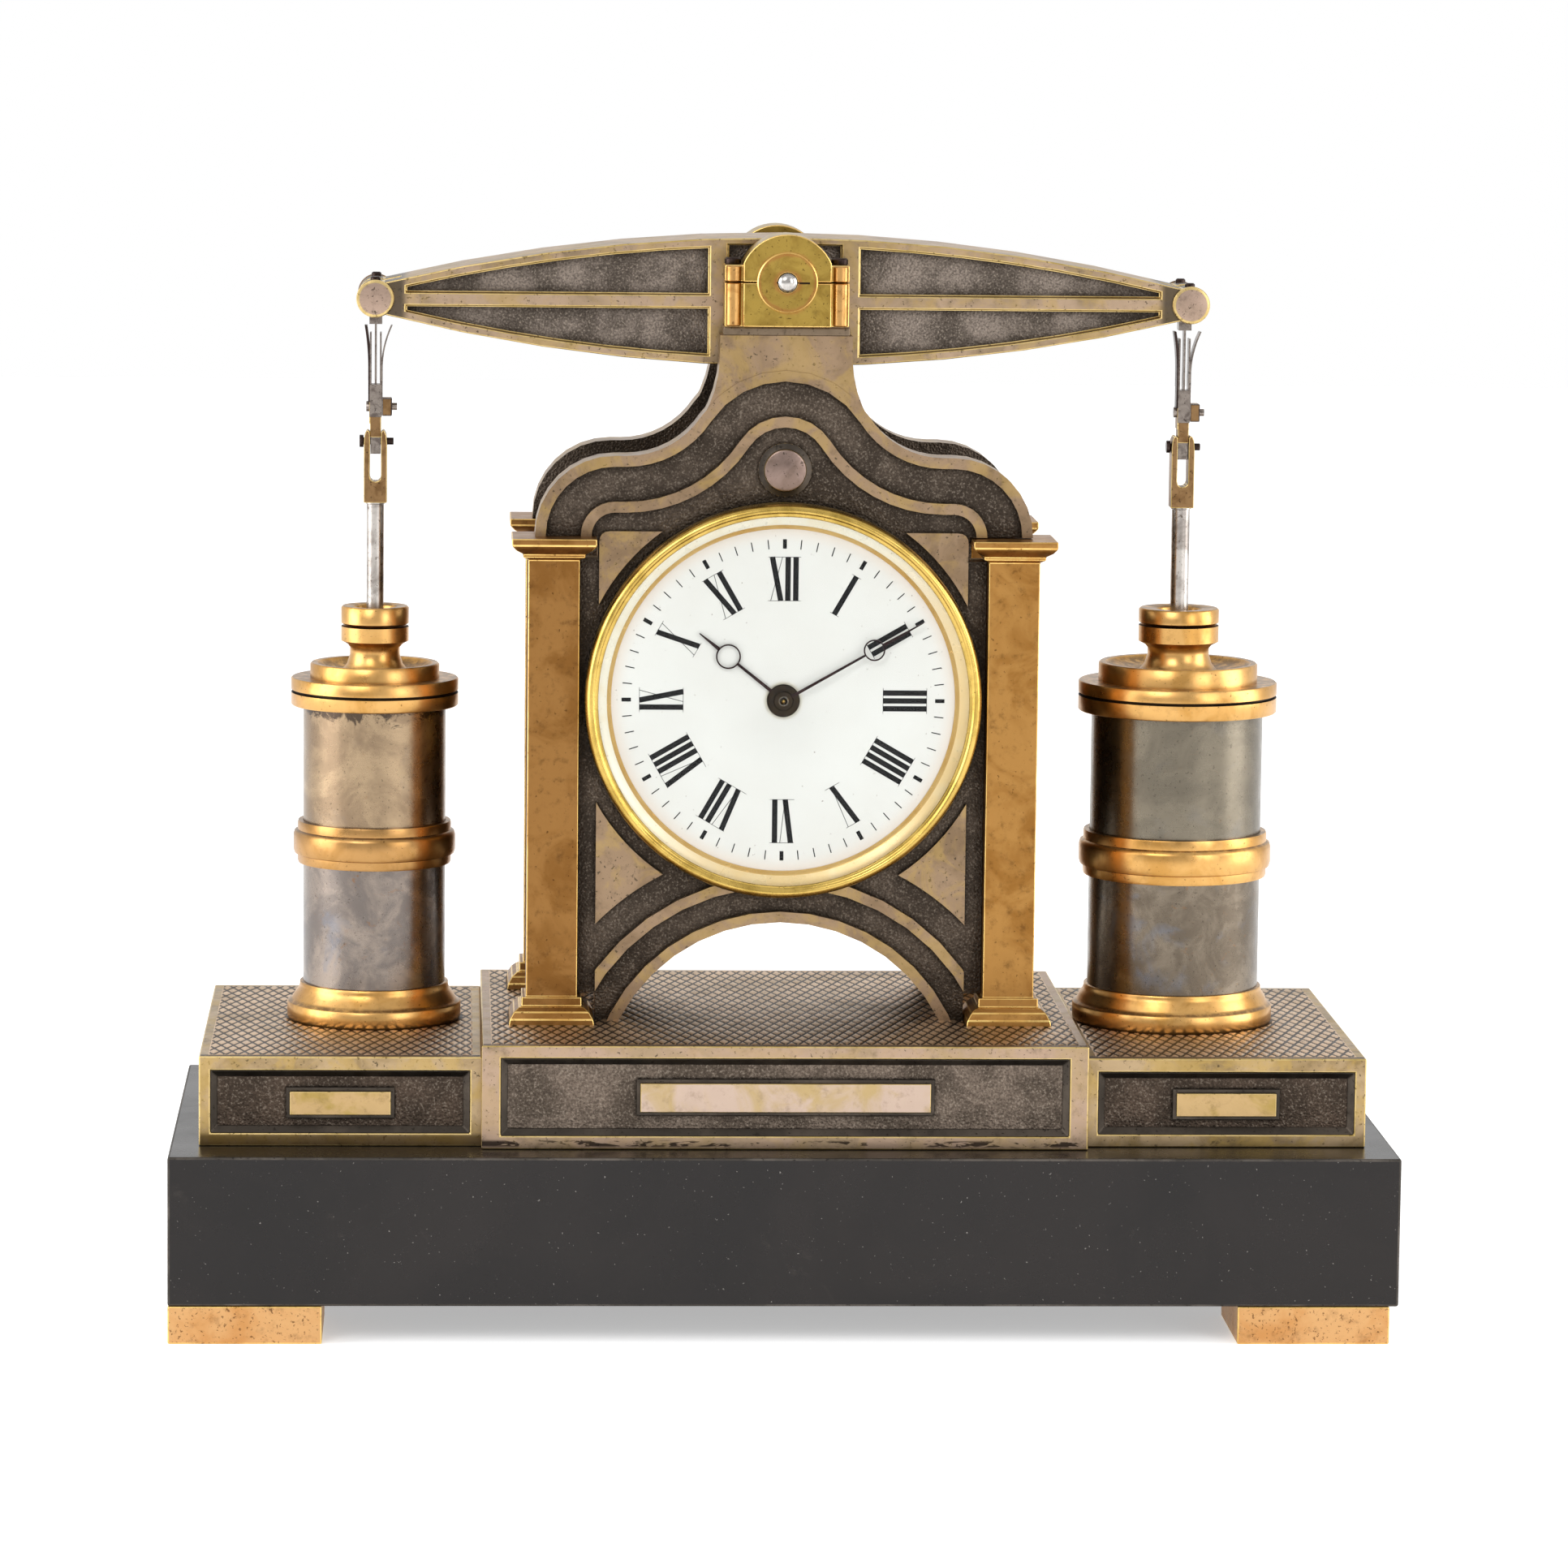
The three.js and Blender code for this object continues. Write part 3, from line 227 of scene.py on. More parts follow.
def relief_metal(
    name, field_mask, olive=0.35, rim=PINK_SILVER, rim2=GREY_SILVER, field=FIELD, field2=FIELD_DARK,
    glint=0.5, scar_z=None, boss_x=None, foot_z=None,
):
    """Silvered rims over a dark stippled field; field_mask(p) is 1 in the field.

    In mm: scratches run along scar_z, dull olive lies below foot_z, tarnish lies beyond boss_x.
    """
    p = Paint(name)
    high = aged(p, rim, rim2, SOOT, patch_mm=18, grime=0.4)
    brassy = p.times(p.band(p.noise(13, 4, 0.65, 1.0), 0.44, 0.62), olive)
    high = p.mix(brassy, high, OLIVE)
    low = p.mix(p.band(p.noise(14, 4, 0.6), 0.38, 0.62), field2, field)
    grain_and_glint = p.noise(0.62, 2, 0.6)
    low = p.mix(p.times(p.band(grain_and_glint, 0.5, 0.38), 0.45), low, GRAIN_DARK)
    # Painted highlight: light glint specks across the stippled field, as strong as glint says; the dark specks are
    # the field's grain.
    low = p.mix(p.times(p.band(grain_and_glint, 0.55, 0.68), glint), low, GLINT_SPECK)
    # Painted shade: the field darkens in corners and beside the raised rims, where ambient occlusion finds them.
    corner_shade = p.nook(5.0)
    low = p.mix(p.times(corner_shade, 0.85), low, PAINTED_CORNER_SHADE)
    mask = field_mask(p)
    if scar_z:
        row = p.math("ABSOLUTE", p.math("SUBTRACT", p.axis(2), scar_z * MM))
        scratch = p.band(p.noise(2.2, 3, 0.7, 0.5, p.stretch((0.24, 1, 1))), 0.5, 0.56)
        scratch = p.times(scratch, p.band(row, 0.0014, 0.0004))
        high = p.mix(p.times(scratch, 0.9), high, SCRATCH)
    if foot_z:
        near = p.times(p.band(p.axis(2), (foot_z + 0.6) * MM, (foot_z - 1.2) * MM), 0.75)
        high = p.mix(near, high, FOOT_OLIVE)
    if boss_x:
        out = p.math("ABSOLUTE", p.axis(0))
        near = p.times(p.band(out, (boss_x - 4) * MM, (boss_x - 1) * MM), 0.85)
        high = p.mix(near, high, TARNISH)
    color = p.mix(mask, high, low)
    rough_high = p.wander(6, 0.3, 0.24)
    roughness = p.math("ADD", rough_high, p.times(mask, 0.08))
    stipple = p.times(p.cells(0.7), mask)
    normal = p.bump(stipple, 0.22, 0.8)
    normal = p.bump(p.noise(0.9, 3, 0.6), 0.03, 0.6, normal)
    return p.done(color, roughness, 1.0, normal)


def field_between(centre_y, shallow, deep):
    """Field mask for flat faces along Y: 1 where the surface lies deeper than the rims."""

    def mask(p):
        away = p.math("ABSOLUTE", p.math("SUBTRACT", p.axis(1), centre_y * MM))
        depth = p.band(away, shallow * MM, deep * MM)
        return p.times(depth, p.band(p.facing(1), 0.6, 0.8))

    return mask


def marble_paint():
    p = Paint("black_marble")
    base = p.mix(p.band(p.noise(60, 5, 0.6, 0.8), 0.35, 0.7), srgb(19, 15, 14), srgb(27, 22, 20))
    dust = p.band(p.noise(0.8, 1, 0.5), 0.765, 0.8)
    base = p.mix(p.times(dust, 0.6), base, srgb(140, 136, 130))
    rub = p.band(p.noise(26, 6, 0.75, 1.5), 0.6, 0.8)
    base = p.mix(p.times(rub, 0.18), base, srgb(92, 84, 76))
    rough = p.wander(30, 0.22, 0.16, 5, 0.7)
    normal = p.bump(p.noise(70, 2, 0.5), 0.5, 0.15)
    normal = p.bump(p.band(p.noise(2.2, 3, 0.6), 0.7, 0.8), 0.1, 0.5, normal)
    return p.done(base, rough, 0.0, normal, IOR=1.37)


def enamel_paint():
    p = Paint("white_enamel")
    x = p.math("SUBTRACT", p.axis(0), DIAL_C.x * MM)
    z = p.math("SUBTRACT", p.axis(2), DIAL_C.z * MM)
    r2 = p.math("ADD", p.times(x, x), p.times(z, z))
    radius = p.math("SQRT", r2)
    white = p.mix(p.band(p.noise(40, 3), 0.3, 0.7), srgb(227, 227, 224), srgb(221, 220, 216))
    blush = p.mix(p.band(radius, 0.046, 0.054), white, srgb(224, 208, 194))
    tinted = p.mix(p.band(radius, 0.0042, 0.0064), srgb(214, 205, 178), blush)
    flaw = p.band(p.noise(0.7, 1, 0.5), 0.775, 0.8)
    tinted = p.mix(p.times(flaw, 0.8), tinted, srgb(110, 90, 70))
    normal = p.bump(p.noise(25, 2), 0.15, 0.25)
    return p.done(tinted, 0.12, 0.0, normal, Coat_Weight=0.4, Coat_Roughness=0.05)


def glass_paint():
    p = Paint("clear_glass")
    nodes, links = p.tree.nodes, p.tree.links
    clear = nodes.new("ShaderNodeBsdfTransparent")
    clear.inputs["Color"].default_value = (0.985, 0.99, 0.985, 1)
    gloss = nodes.new("ShaderNodeBsdfGlossy")
    gloss.inputs["Roughness"].default_value = 0.02
    fresnel = nodes.new("ShaderNodeFresnel")
    fresnel.inputs["IOR"].default_value = 1.17
    blend = nodes.new("ShaderNodeMixShader")
    out = nodes.new("ShaderNodeOutputMaterial")
    smear = p.bump(p.noise(35, 3, 0.5), 0.05, 0.2)
    links.new(smear, gloss.inputs["Normal"])
    links.new(fresnel.outputs[0], blend.inputs[0])
    links.new(clear.outputs[0], blend.inputs[1])
    links.new(gloss.outputs[0], blend.inputs[2])
    links.new(blend.outputs[0], out.inputs["Surface"])
    return p.mat


def gunmetal_paint(name, upper, lower, band_z, top_z, blotch):
    """Bronzed barrel: one tone above the band, a bluer one below, darker in a ragged band just under the cover."""
    p = Paint(name)

    def cloud(pair, size):
        return p.mix(p.band(p.noise(size, 5, 0.65, 0.5), 0.4, 0.64), pair[0], pair[1])

    above = p.band(p.axis(2), (band_z - 2) * MM, (band_z + 2) * MM)
    base = p.mix(above, cloud(lower, 13), cloud(upper, 18))
    rust = p.band(p.noise(5, 6, 0.75, 1.0, p.stretch((1, 1, 1.4))), 0.6, 0.7)
    rust = p.times(rust, p.math("SUBTRACT", 0.55, p.times(above, 0.35)))
    base = p.mix(rust, base, srgb(132, 92, 56))
    blue = p.band(p.noise(15, 4, 0.6, 0.4), 0.54, 0.7)
    blue = p.times(blue, p.math("SUBTRACT", 0.5, p.times(above, 0.4)))
    base = p.mix(blue, base, srgb(104, 110, 122))
    # Darker in a ragged band just below the cover flange, by as much as blotch says.
    edge = p.math("ADD", p.axis(2), p.times(p.noise(5, 6, 0.75, 0.8), 0.016))
    worn = p.band(edge, (top_z + 5.2) * MM, (top_z + 7.2) * MM)
    base = p.mix(p.times(worn, blotch), base, srgb(52, 44, 42))
    pits = p.band(p.noise(0.8, 2, 0.6), 0.64, 0.72)
    base = p.mix(p.times(pits, 0.5), base, srgb(50, 42, 38))
    rough = p.wander(7, 0.28, 0.14, 5, 0.7)
    around = p.noise(0.6, 2, 0.5, at=p.stretch((0.08, 0.08, 1)))
    normal = p.bump(around, 0.02, 0.4)
    normal = p.bump(p.noise(3, 4, 0.7), 0.03, 0.5, normal)
    return p.done(base, rough, 1.0, normal)


def dusty(name, main, second, dark):
    """Turned gilt whose dished top holds grey dust."""
    p = Paint(name)
    color = aged(p, main, second, dark, patch_mm=15, grime=0.3, fleck=0.66)
    up = p.band(p.axis(2, p.coords.outputs["Normal"]), 0.5, 0.85)
    dust = p.times(up, p.band(p.noise(3.0, 5, 0.7), 0.3, 0.6))
    color = p.mix(p.times(dust, 0.75), color, srgb(84, 68, 52))
    rough = p.wander(6, 0.22, 0.2)
    turned = p.noise(0.5, 2, 0.5, at=p.stretch((0.08, 0.08, 1)))
    normal = p.bump(turned, 0.015, 0.4)
    return p.done(color, rough, 1.0, normal)


def bearing_paint():
    """Olive brass with reddish tarnish round the shaft and round the bush."""
    p = Paint("bearing_brass")
    color = aged(p, srgb(168, 140, 68), srgb(146, 118, 54), srgb(88, 66, 32), patch_mm=8)
    x = p.math("SUBTRACT", p.axis(0), PIVOT.x * MM)
    z = p.math("SUBTRACT", p.axis(2), PIVOT.z * MM)
    radius = p.math("SQRT", p.math("ADD", p.times(x, x), p.times(z, z)))
    uneven = p.math("ADD", radius, p.times(p.noise(7, 3), 0.003))
    for inner, outer in ((0.0112, 0.0096), (0.0062, 0.0048)):
        halo = p.band(uneven, inner, outer)
        if inner > 0.01:
            halo = p.times(halo, p.band(uneven, 0.0088, 0.0100))
        color = p.mix(p.times(halo, 0.6), color, srgb(168, 104, 62))
    rough = p.wander(5, 0.25, 0.2)
    return p.done(color, rough, 1.0, p.bump(p.noise(0.8, 3, 0.6), 0.025, 0.6))


BEARING = bearing_paint()
MARBLE = marble_paint()
LUG_GILT = worn_metal("lug_gilt", srgb(190, 146, 88), srgb(168, 120, 66), srgb(110, 74, 40), 0.28, patch_mm=6)
CHIPPED = worn_metal("chipped_edge", srgb(70, 66, 62), srgb(98, 92, 86), srgb(30, 28, 26), 0.5)
ROSE = worn_metal(
    "rose_gilt", srgb(208, 162, 110), srgb(196, 142, 86), srgb(96, 62, 38), 0.42, fleck=0.6, fleck_mm=0.9
)
GILT_BROWN = worn_metal(
    "brown_gilt", srgb(166, 122, 66), srgb(142, 98, 46), srgb(84, 54, 26), patch_mm=16, fleck=0.66, grime=0.6
)
PILASTER_LEFT = worn_metal(
    "left_pilaster_gilt", srgb(146, 105, 58), srgb(126, 86, 42), srgb(76, 48, 24),
    patch_mm=16, fleck=0.66, grime=0.6,
)
EDGE_BRASS = worn_metal("worn_brass_edge", srgb(210, 184, 126), srgb(184, 158, 98), srgb(104, 84, 48), 0.3)
EDGE_GILT = worn_metal("bright_gilt_edge", srgb(232, 196, 120), srgb(206, 160, 88), srgb(120, 84, 44), 0.28)
SILVERED = worn_metal("silvered_bronze", srgb(172, 148, 132), srgb(158, 136, 118), SOOT)
BUTTON = worn_metal("button_silver", srgb(140, 120, 111), srgb(124, 105, 95), SOOT, 0.32, patch_mm=8)
TABLET_BRASS = worn_metal(
    "tablet_brass", srgb(188, 158, 112), srgb(170, 144, 84), srgb(104, 84, 50), 0.36, patch_mm=10, fleck=0.72
)
TABLET_PINK = worn_metal(
    "tablet_silver", srgb(190, 168, 152), srgb(180, 156, 112), srgb(120, 100, 76), patch_mm=13, fleck=0.72
)
BEZEL_GOLD = worn_metal(
    "bezel_gold", srgb(204, 172, 92), srgb(172, 142, 68), srgb(104, 82, 34), 0.24,
    patch_mm=14, fleck=0.68, grime=0.2,
)
SLIP_EDGE = worn_metal(
    "slip_ring_edge", srgb(236, 196, 124), srgb(224, 178, 100), srgb(150, 110, 60), 0.2, 0.35, fleck=0.72, grime=0.1
)


def slip_paint():
    """Pale gilding with painted light: whiter towards the upper left and warmer towards the lower right."""
    p = Paint("slip_ring_gilt")
    # Painted light: the ring's colour runs from a whiter upper left to a warmer lower right.
    lean = p.math("SUBTRACT", p.axis(0), p.math("SUBTRACT", p.axis(2), DIAL_C.z * MM))
    side = p.band(lean, -0.03, 0.05)
    color = p.mix(side, srgb(246, 240, 222), srgb(238, 208, 150))
    color = p.mix(p.times(p.band(p.noise(9, 4, 0.6), 0.45, 0.7), 0.4), color, srgb(240, 222, 184))
    color = p.mix(p.times(p.band(p.noise(1.0, 2), 0.66, 0.74), 0.4), color, srgb(170, 138, 84))
    rough = p.wander(8, 0.2, 0.2, 3, 0.55)
    return p.done(color, rough, 0.15, p.bump(p.noise(2, 3), 0.02, 0.4))


SLIP_PALE = slip_paint()
RING_BROWN = dusty("ring_brown_gilt", srgb(178, 136, 84), srgb(160, 118, 64), srgb(92, 64, 34))
RING_GILT = dusty("ring_gilt", srgb(208, 162, 98), srgb(188, 140, 74), srgb(108, 76, 38))
JOINT_DARK = worn_metal("dark_joint", srgb(52, 40, 28), srgb(40, 32, 24), srgb(20, 16, 12), 0.5)
GUN_LEFT = gunmetal_paint(
    "gunmetal_left", (srgb(134, 114, 92), srgb(162, 140, 112)), (srgb(112, 104, 99), srgb(142, 130, 120)),
    135, 177, 0.85,
)
GUN_RIGHT = gunmetal_paint(
    "gunmetal_right", (srgb(106, 99, 87), srgb(120, 112, 98)), (srgb(100, 90, 78), srgb(124, 113, 99)),
    134, 177, 0.2,
)
STEEL = worn_metal(
    "bright_steel", srgb(196, 192, 188), srgb(164, 158, 152), srgb(92, 80, 72), 0.22, patch_mm=8, fleck=0.66
)
ROD_STEEL = worn_metal("rod_steel", srgb(186, 180, 174), srgb(140, 132, 126), srgb(88, 76, 66), 0.26, patch_mm=9)
LINK_STEEL = worn_metal("link_steel", srgb(142, 132, 124), srgb(104, 94, 88), srgb(50, 42, 38), 0.24, patch_mm=3)
DARK_STEEL = worn_metal("dark_steel", srgb(66, 54, 50), srgb(48, 38, 36), srgb(22, 18, 18), 0.32, patch_mm=5)
LINK_BROWN = worn_metal("brown_brass", srgb(136, 106, 72), srgb(112, 84, 54), srgb(60, 44, 30), 0.36, patch_mm=5)
MOVEMENT = worn_metal("movement_brass", srgb(206, 168, 92), srgb(190, 150, 78), srgb(118, 88, 42), 0.28)
ENAMEL = enamel_paint()
GLASS = glass_paint()
INK = worn_metal("numeral_ink", srgb(17, 17, 19), srgb(24, 23, 24), srgb(12, 12, 12), 0.42, 0.0, {"IOR": 1.2})
COVE = worn_metal("neck_cove", srgb(122, 106, 88), srgb(102, 88, 72), srgb(54, 46, 38), 0.4)
PLATE = relief_metal(
    "frame_relief", field_between(FRAME_Y, PLATE_HALF - 0.45, PLATE_HALF - 1.6), 0.4,
    srgb(152, 128, 103), srgb(130, 108, 84), srgb(84, 74, 65), srgb(62, 54, 47), glint=0.3,
)
BEAM_PAINT = relief_metal(
    "beam_relief", field_between(BEAM_Y, BEAM_HALF - 1.0, BEAM_HALF - 2.2), 0.4,
    srgb(172, 148, 124), srgb(146, 126, 100), srgb(126, 115, 106), srgb(84, 76, 69), boss_x=115,
)


def front_field(front):
    def mask(p):
        deep = p.band(p.axis(1), (front + 0.5) * MM, (front + 1.4) * MM)
        ahead = p.band(p.axis(1), (front + 3.5) * MM, (front + 3.0) * MM)
        return p.times(deep, ahead)

    return mask


CENTRE_FRONT = box_mm("centre_pedestal")[0].y
SIDE_FRONT = box_mm("left_pedestal")[0].y
CENTRE_PAINT = relief_metal(
    "centre_pedestal_relief", front_field(CENTRE_FRONT), 0.2, srgb(174, 149, 128), glint=0.45, scar_z=57
)
SIDE_PAINT, DULL_SIDE_PAINT = (
    relief_metal(
        name, front_field(SIDE_FRONT), 0.55, srgb(176, 152, 118), srgb(140, 118, 82),
        srgb(86, 73, 63), srgb(68, 58, 50), glint=0.35, foot_z=foot_z,
    )
    for name, foot_z in (("right_pedestal_relief", None), ("left_pedestal_relief", 59.1))
)


def knurl_paint():
    """Bright lozenges with dark lines between them, on the pedestal tops."""
    p = Paint("knurled_silver")
    color = aged(p, srgb(214, 186, 156), srgb(184, 158, 126), SOOT, patch_mm=30, grime=0.4)
    n = p.tree.nodes.new("ShaderNodeAttribute")
    n.attribute_name = "level"
    hollow = p.band(n.outputs["Fac"], 0.75, 0.3)
    color = p.mix(p.times(hollow, 0.95), color, srgb(34, 27, 21))
    rough = p.wander(6, 0.25, 0.3)
    return p.done(color, rough, 1.0, p.bump(p.noise(0.9, 3), 0.03, 0.5))


KNURL = knurl_paint()


# ------------------------------------------------------------------ mesh helpers

def vert(bm, x, y, z):
    return bm.verts.new(Vector((x, y, z)) * MM)


def into_mesh(bm, name, outward=True):
    if outward:
        bmesh.ops.recalc_face_normals(bm, faces=bm.faces)
    mesh = bpy.data.meshes.new(name)
    bm.to_mesh(mesh)
    bm.free()
    return mesh


def finish_piece(name, mesh, body, paints, smooth=True, angle=35, bevel=0.0, segments=2):
    mesh.validate()
    obj = bpy.data.objects.new(name, mesh)
    bpy.context.scene.collection.objects.link(obj)
    for paint in paints:
        obj.data.materials.append(paint)
    if smooth:
        mesh.polygons.foreach_set("use_smooth", [True] * len(mesh.polygons))
        mesh.set_sharp_from_angle(angle=math.radians(angle))
    if bevel:
        edge_bevel(obj, bevel, segments, len(paints) - 1 if len(paints) > 1 else -1)
    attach(obj, body)
    return obj


def edge_bevel(obj, width, segments=2, material=-1, clamp=True):
    m = obj.modifiers.new("edge", "BEVEL")
    m.width = width * MM
    m.segments = segments
    m.limit_method = "ANGLE"
    m.angle_limit = math.radians(30)
    m.material = material
    m.use_clamp_overlap = clamp
    m.harden_normals = False


def turned(name, profile, centre, along, body, paints, slot, sides=96, which=None, angle=35):
    """A turned piece; profile is [radius, place] in mm along the axis, closed if it ends where it starts."""
    bm = bmesh.new()
    loop = profile[0] == profile[-1]
    points = profile[:-1] if loop else profile
    rings = []
    for radius, place in points:
        if radius < 1e-6:
            at = (centre[0], centre[1], place) if along == "Z" else (centre[0], place, centre[1])
            rings.append([vert(bm, *at)])
            continue
        ring = []
        for i in range(sides):
            a = 2 * math.pi * i / sides
            u, v = radius * math.cos(a), radius * math.sin(a)
            at = (centre[0] + u, centre[1] + v, place)
            if along == "Y":
                at = (centre[0] + u, place, centre[1] - v)
            ring.append(vert(bm, *at))
        rings.append(ring)
    pairs = list(zip(rings, rings[1:] + rings[:1]))
    if not loop:
        pairs = pairs[:-1]
    for k, (a, b) in enumerate(pairs):
        for i in range(sides):
            j = (i + 1) % sides
            corners = [a[i % len(a)], a[j % len(a)], b[j % len(b)], b[i % len(b)]]
            corners = list(dict.fromkeys(corners))
            if len(corners) > 2:
                face = bm.faces.new(corners)
                face.material_index = which[k] if which else 0
    return finish_piece(name, into_mesh(bm, name), body, paints, angle=angle)


def prisms(name, shapes, y0, y1, body, paints, bevel=0.0):
    """Flat shapes in the XZ plane (lists of x, z in mm), each cut from y0 to y1."""
    bm = bmesh.new()
    for shape in shapes:
        front = [vert(bm, x, y0, z) for x, z in shape]
        back = [vert(bm, x, y1, z) for x, z in shape]
        bm.faces.new(front)
        bm.faces.new(back[::-1])
        for i in range(len(shape)):
            j = (i + 1) % len(shape)
            bm.faces.new((front[j], front[i], back[i], back[j]))
    return finish_piece(name, into_mesh(bm, name), body, paints, smooth=False, bevel=bevel)


def boxes(name, spans, body, paints, bevel=0.0):
    """Several (x0, x1, y0, y1, z0, z1) blocks in mm as one piece."""
    bm = bmesh.new()
    for x0, x1, y0, y1, z0, z1 in spans:
        for v in bmesh.ops.create_cube(bm, size=1.0)["verts"]:
            x, y, z = v.co
            v.co = Vector((x0 if x < 0 else x1, y0 if y < 0 else y1, z0 if z < 0 else z1)) * MM
    return finish_piece(name, into_mesh(bm, name, False), body, paints, smooth=False, bevel=bevel)


def dress(node, paints, bevel=0.0, angle=30, segments=2, clamp=True, weld_mm=0.02):
    """Gives a CAD node its finish and soft edges; its own shape stays."""
    obj = NODES[node]
    obj.data.materials.clear()
    for paint in paints:
        obj.data.materials.append(paint)
    weld = obj.modifiers.new("weld", "WELD")
    weld.merge_threshold = weld_mm * MM
    flat = obj.modifiers.new("flat", "DECIMATE")
    flat.decimate_type = "DISSOLVE"
    flat.angle_limit = math.radians(0.6)
    if bevel:
        edge_bevel(obj, bevel, segments, len(paints) - 1 if len(paints) > 1 else -1, clamp)
        obj.modifiers["edge"].angle_limit = math.radians(angle)
    obj.data.polygons.foreach_set("use_smooth", [True] * len(obj.data.polygons))
    weighted = obj.modifiers.new("normals", "WEIGHTED_NORMAL")
    weighted.keep_sharp = True
    weighted.weight = 80
    return obj


# ------------------------------------------------------------------ base

dress("marble_plinth", [MARBLE, CHIPPED], 0.7, segments=3)
for end in ("front", "rear"):
    for side in ("left", "right"):
        dress(f"foot_{end}_{side}", [ROSE, EDGE_GILT], 0.45)
        gilt = PILASTER_LEFT if side == "left" else GILT_BROWN
        dress(f"pilaster_{end}_{side}", [gilt, EDGE_GILT], 0.3, angle=20)
dress("centre_pedestal", [CENTRE_PAINT, EDGE_BRASS], 0.45)
dress("left_pedestal", [DULL_SIDE_PAINT, EDGE_BRASS], 0.45)
dress("right_pedestal", [SIDE_PAINT, EDGE_BRASS], 0.45)


KNURL_BORDER, KNURL_HEIGHT = 2.7, 0.3
LOZENGE_X, LOZENGE_Y = 3.6, 10.5


def knurled_top(name, x0, x1, y0, y1, z, covered):
    """Raised lozenges in offset rows, inside a plain border and flat where covered(x, y) says so."""
    x0, x1, y0, y1 = x0 + KNURL_BORDER, x1 - KNURL_BORDER, y0 + KNURL_BORDER, y1 - KNURL_BORDER
    nx = round((x1 - x0) / (LOZENGE_X / 8))
    ny = round((y1 - y0) / (LOZENGE_Y / 12))
    level = []

    def lift(x, y):
        if covered(x, y):
            return 0.0
        u, v = x / LOZENGE_X, y / LOZENGE_Y
        a, b = u + v, u - v
        near = min(abs(a - round(a)), abs(b - round(b)))
        return min(1.0, max(0.0, (near - 0.05) / 0.14))

    bm = bmesh.new()
    grid = []
    for j in range(ny + 1):
        row = []
        for i in range(nx + 1):
            x, y = x0 + (x1 - x0) * i / nx, y0 + (y1 - y0) * j / ny
            rim = i in (0, nx) or j in (0, ny)
            h = 0.0 if rim else lift(x, y)
            level.append(1.0 if rim else h)
            row.append(vert(bm, x, y, z + 0.02 + KNURL_HEIGHT * h))
        grid.append(row)
    for j in range(ny):
        for i in range(nx):
            bm.faces.new((grid[j][i], grid[j][i + 1], grid[j + 1][i + 1], grid[j + 1][i]))
    mesh = into_mesh(bm, name, False)
    mesh.attributes.new("level", "FLOAT", "POINT").data.foreach_set("value", level)
    return finish_piece(name, mesh, "clock_frame", [KNURL], angle=60)


def under_cylinder(word):
    lo, hi = box_mm(word + "_cylinder_base")
    centre, reach = (lo + hi) / 2, (hi.x - lo.x) / 2 + 0.5
    return lambda x, y: math.hypot(x - centre.x, y - centre.y) < reach


PILASTER_BOXES = [box_mm(f"pilaster_{end}_{side}") for end in ("front", "rear") for side in ("left", "right")]


def under_pilasters(x, y):
    return any(
        lo.x - 0.4 < x < hi.x + 0.4 and lo.y - 0.6 < y < hi.y + 0.6
        for lo, hi in PILASTER_BOXES
    )


for node, z, covered in (
    ("centre_pedestal", CENTRE_TOP, under_pilasters),
    ("left_pedestal", SIDE_TOP, under_cylinder("left")),
    ("right_pedestal", SIDE_TOP, under_cylinder("right")),
):
    lo, hi = box_mm(node)
    knurled_top(node + "_knurling", lo.x, hi.x, lo.y, hi.y, z, covered)


def sloped_panel(name, x0, x1, z0, z1, front, tablet, tablet_paint):
    """Slopes round a sunk panel, a stepped border and the polished face of the tablet."""
    slope, depth, step = 2.1, 1.9, 1.1
    bm = bmesh.new()
    outer = [(x0, z0), (x1, z0), (x1, z1), (x0, z1)]
    ix0, ix1, iz0, iz1 = x0 + slope, x1 - slope, z0 + slope, z1 - slope
    inner = [(ix0, iz0), (ix1, iz0), (ix1, iz1), (ix0, iz1)]
    top = [vert(bm, x, front + 0.25, z) for x, z in outer]
    low = [vert(bm, x, front + depth, z) for x, z in inner]
    back = [vert(bm, x, front + depth, z) for x, z in outer]
    for i in range(4):
        j = (i + 1) % 4
        bm.faces.new((top[i], top[j], low[j], low[i]))
        bm.faces.new((low[i], low[j], back[j], back[i]))
        bm.faces.new((back[i], back[j], top[j], top[i]))
    mesh = into_mesh(bm, name + "_slope")
    finish_piece(name + "_slope", mesh, "clock_frame", [DARK_PANEL], smooth=False, bevel=0.3)
    tx0, tx1, tz0, tz1 = tablet
    border = (tx0 - step, tx1 + step, front + 0.9, front + depth, tz0 - step, tz1 + step)
    boxes(name + "_step", [border], "clock_frame", [DARK_PANEL], 0.25)
    face = (tx0, tx1, front - 0.1, front + 1.0, tz0, tz1)
    boxes(name + "_tablet", [face], "clock_frame", [tablet_paint, EDGE_BRASS], 0.25)


DARK_PANEL = worn_metal("smooth_patina", srgb(64, 58, 52), srgb(82, 74, 66), srgb(34, 30, 26), 0.4)
sloped_panel("centre_panel", -83.4, 83.4, 59.3, 82.2, CENTRE_FRONT, (-42.6, 42.6, 66.3, 74.9), TABLET_PINK)
for side, word in ((-1, "left"), (1, "right")):
    ends = sorted((side * 168.2, side * 92.4))
    mid = sum(ends) / 2
    tablet = (mid - 14.75, mid + 14.75, 64.4, 71.4)
    sloped_panel(word + "_panel", ends[0], ends[1], 59.1, 77.6, SIDE_FRONT, tablet, TABLET_BRASS)

# ------------------------------------------------------------------ frame, bearings

LUG_X, LUG_R = 15.8, 2.35
SCREW_R = 2.5
SHAFT_R = 2.75

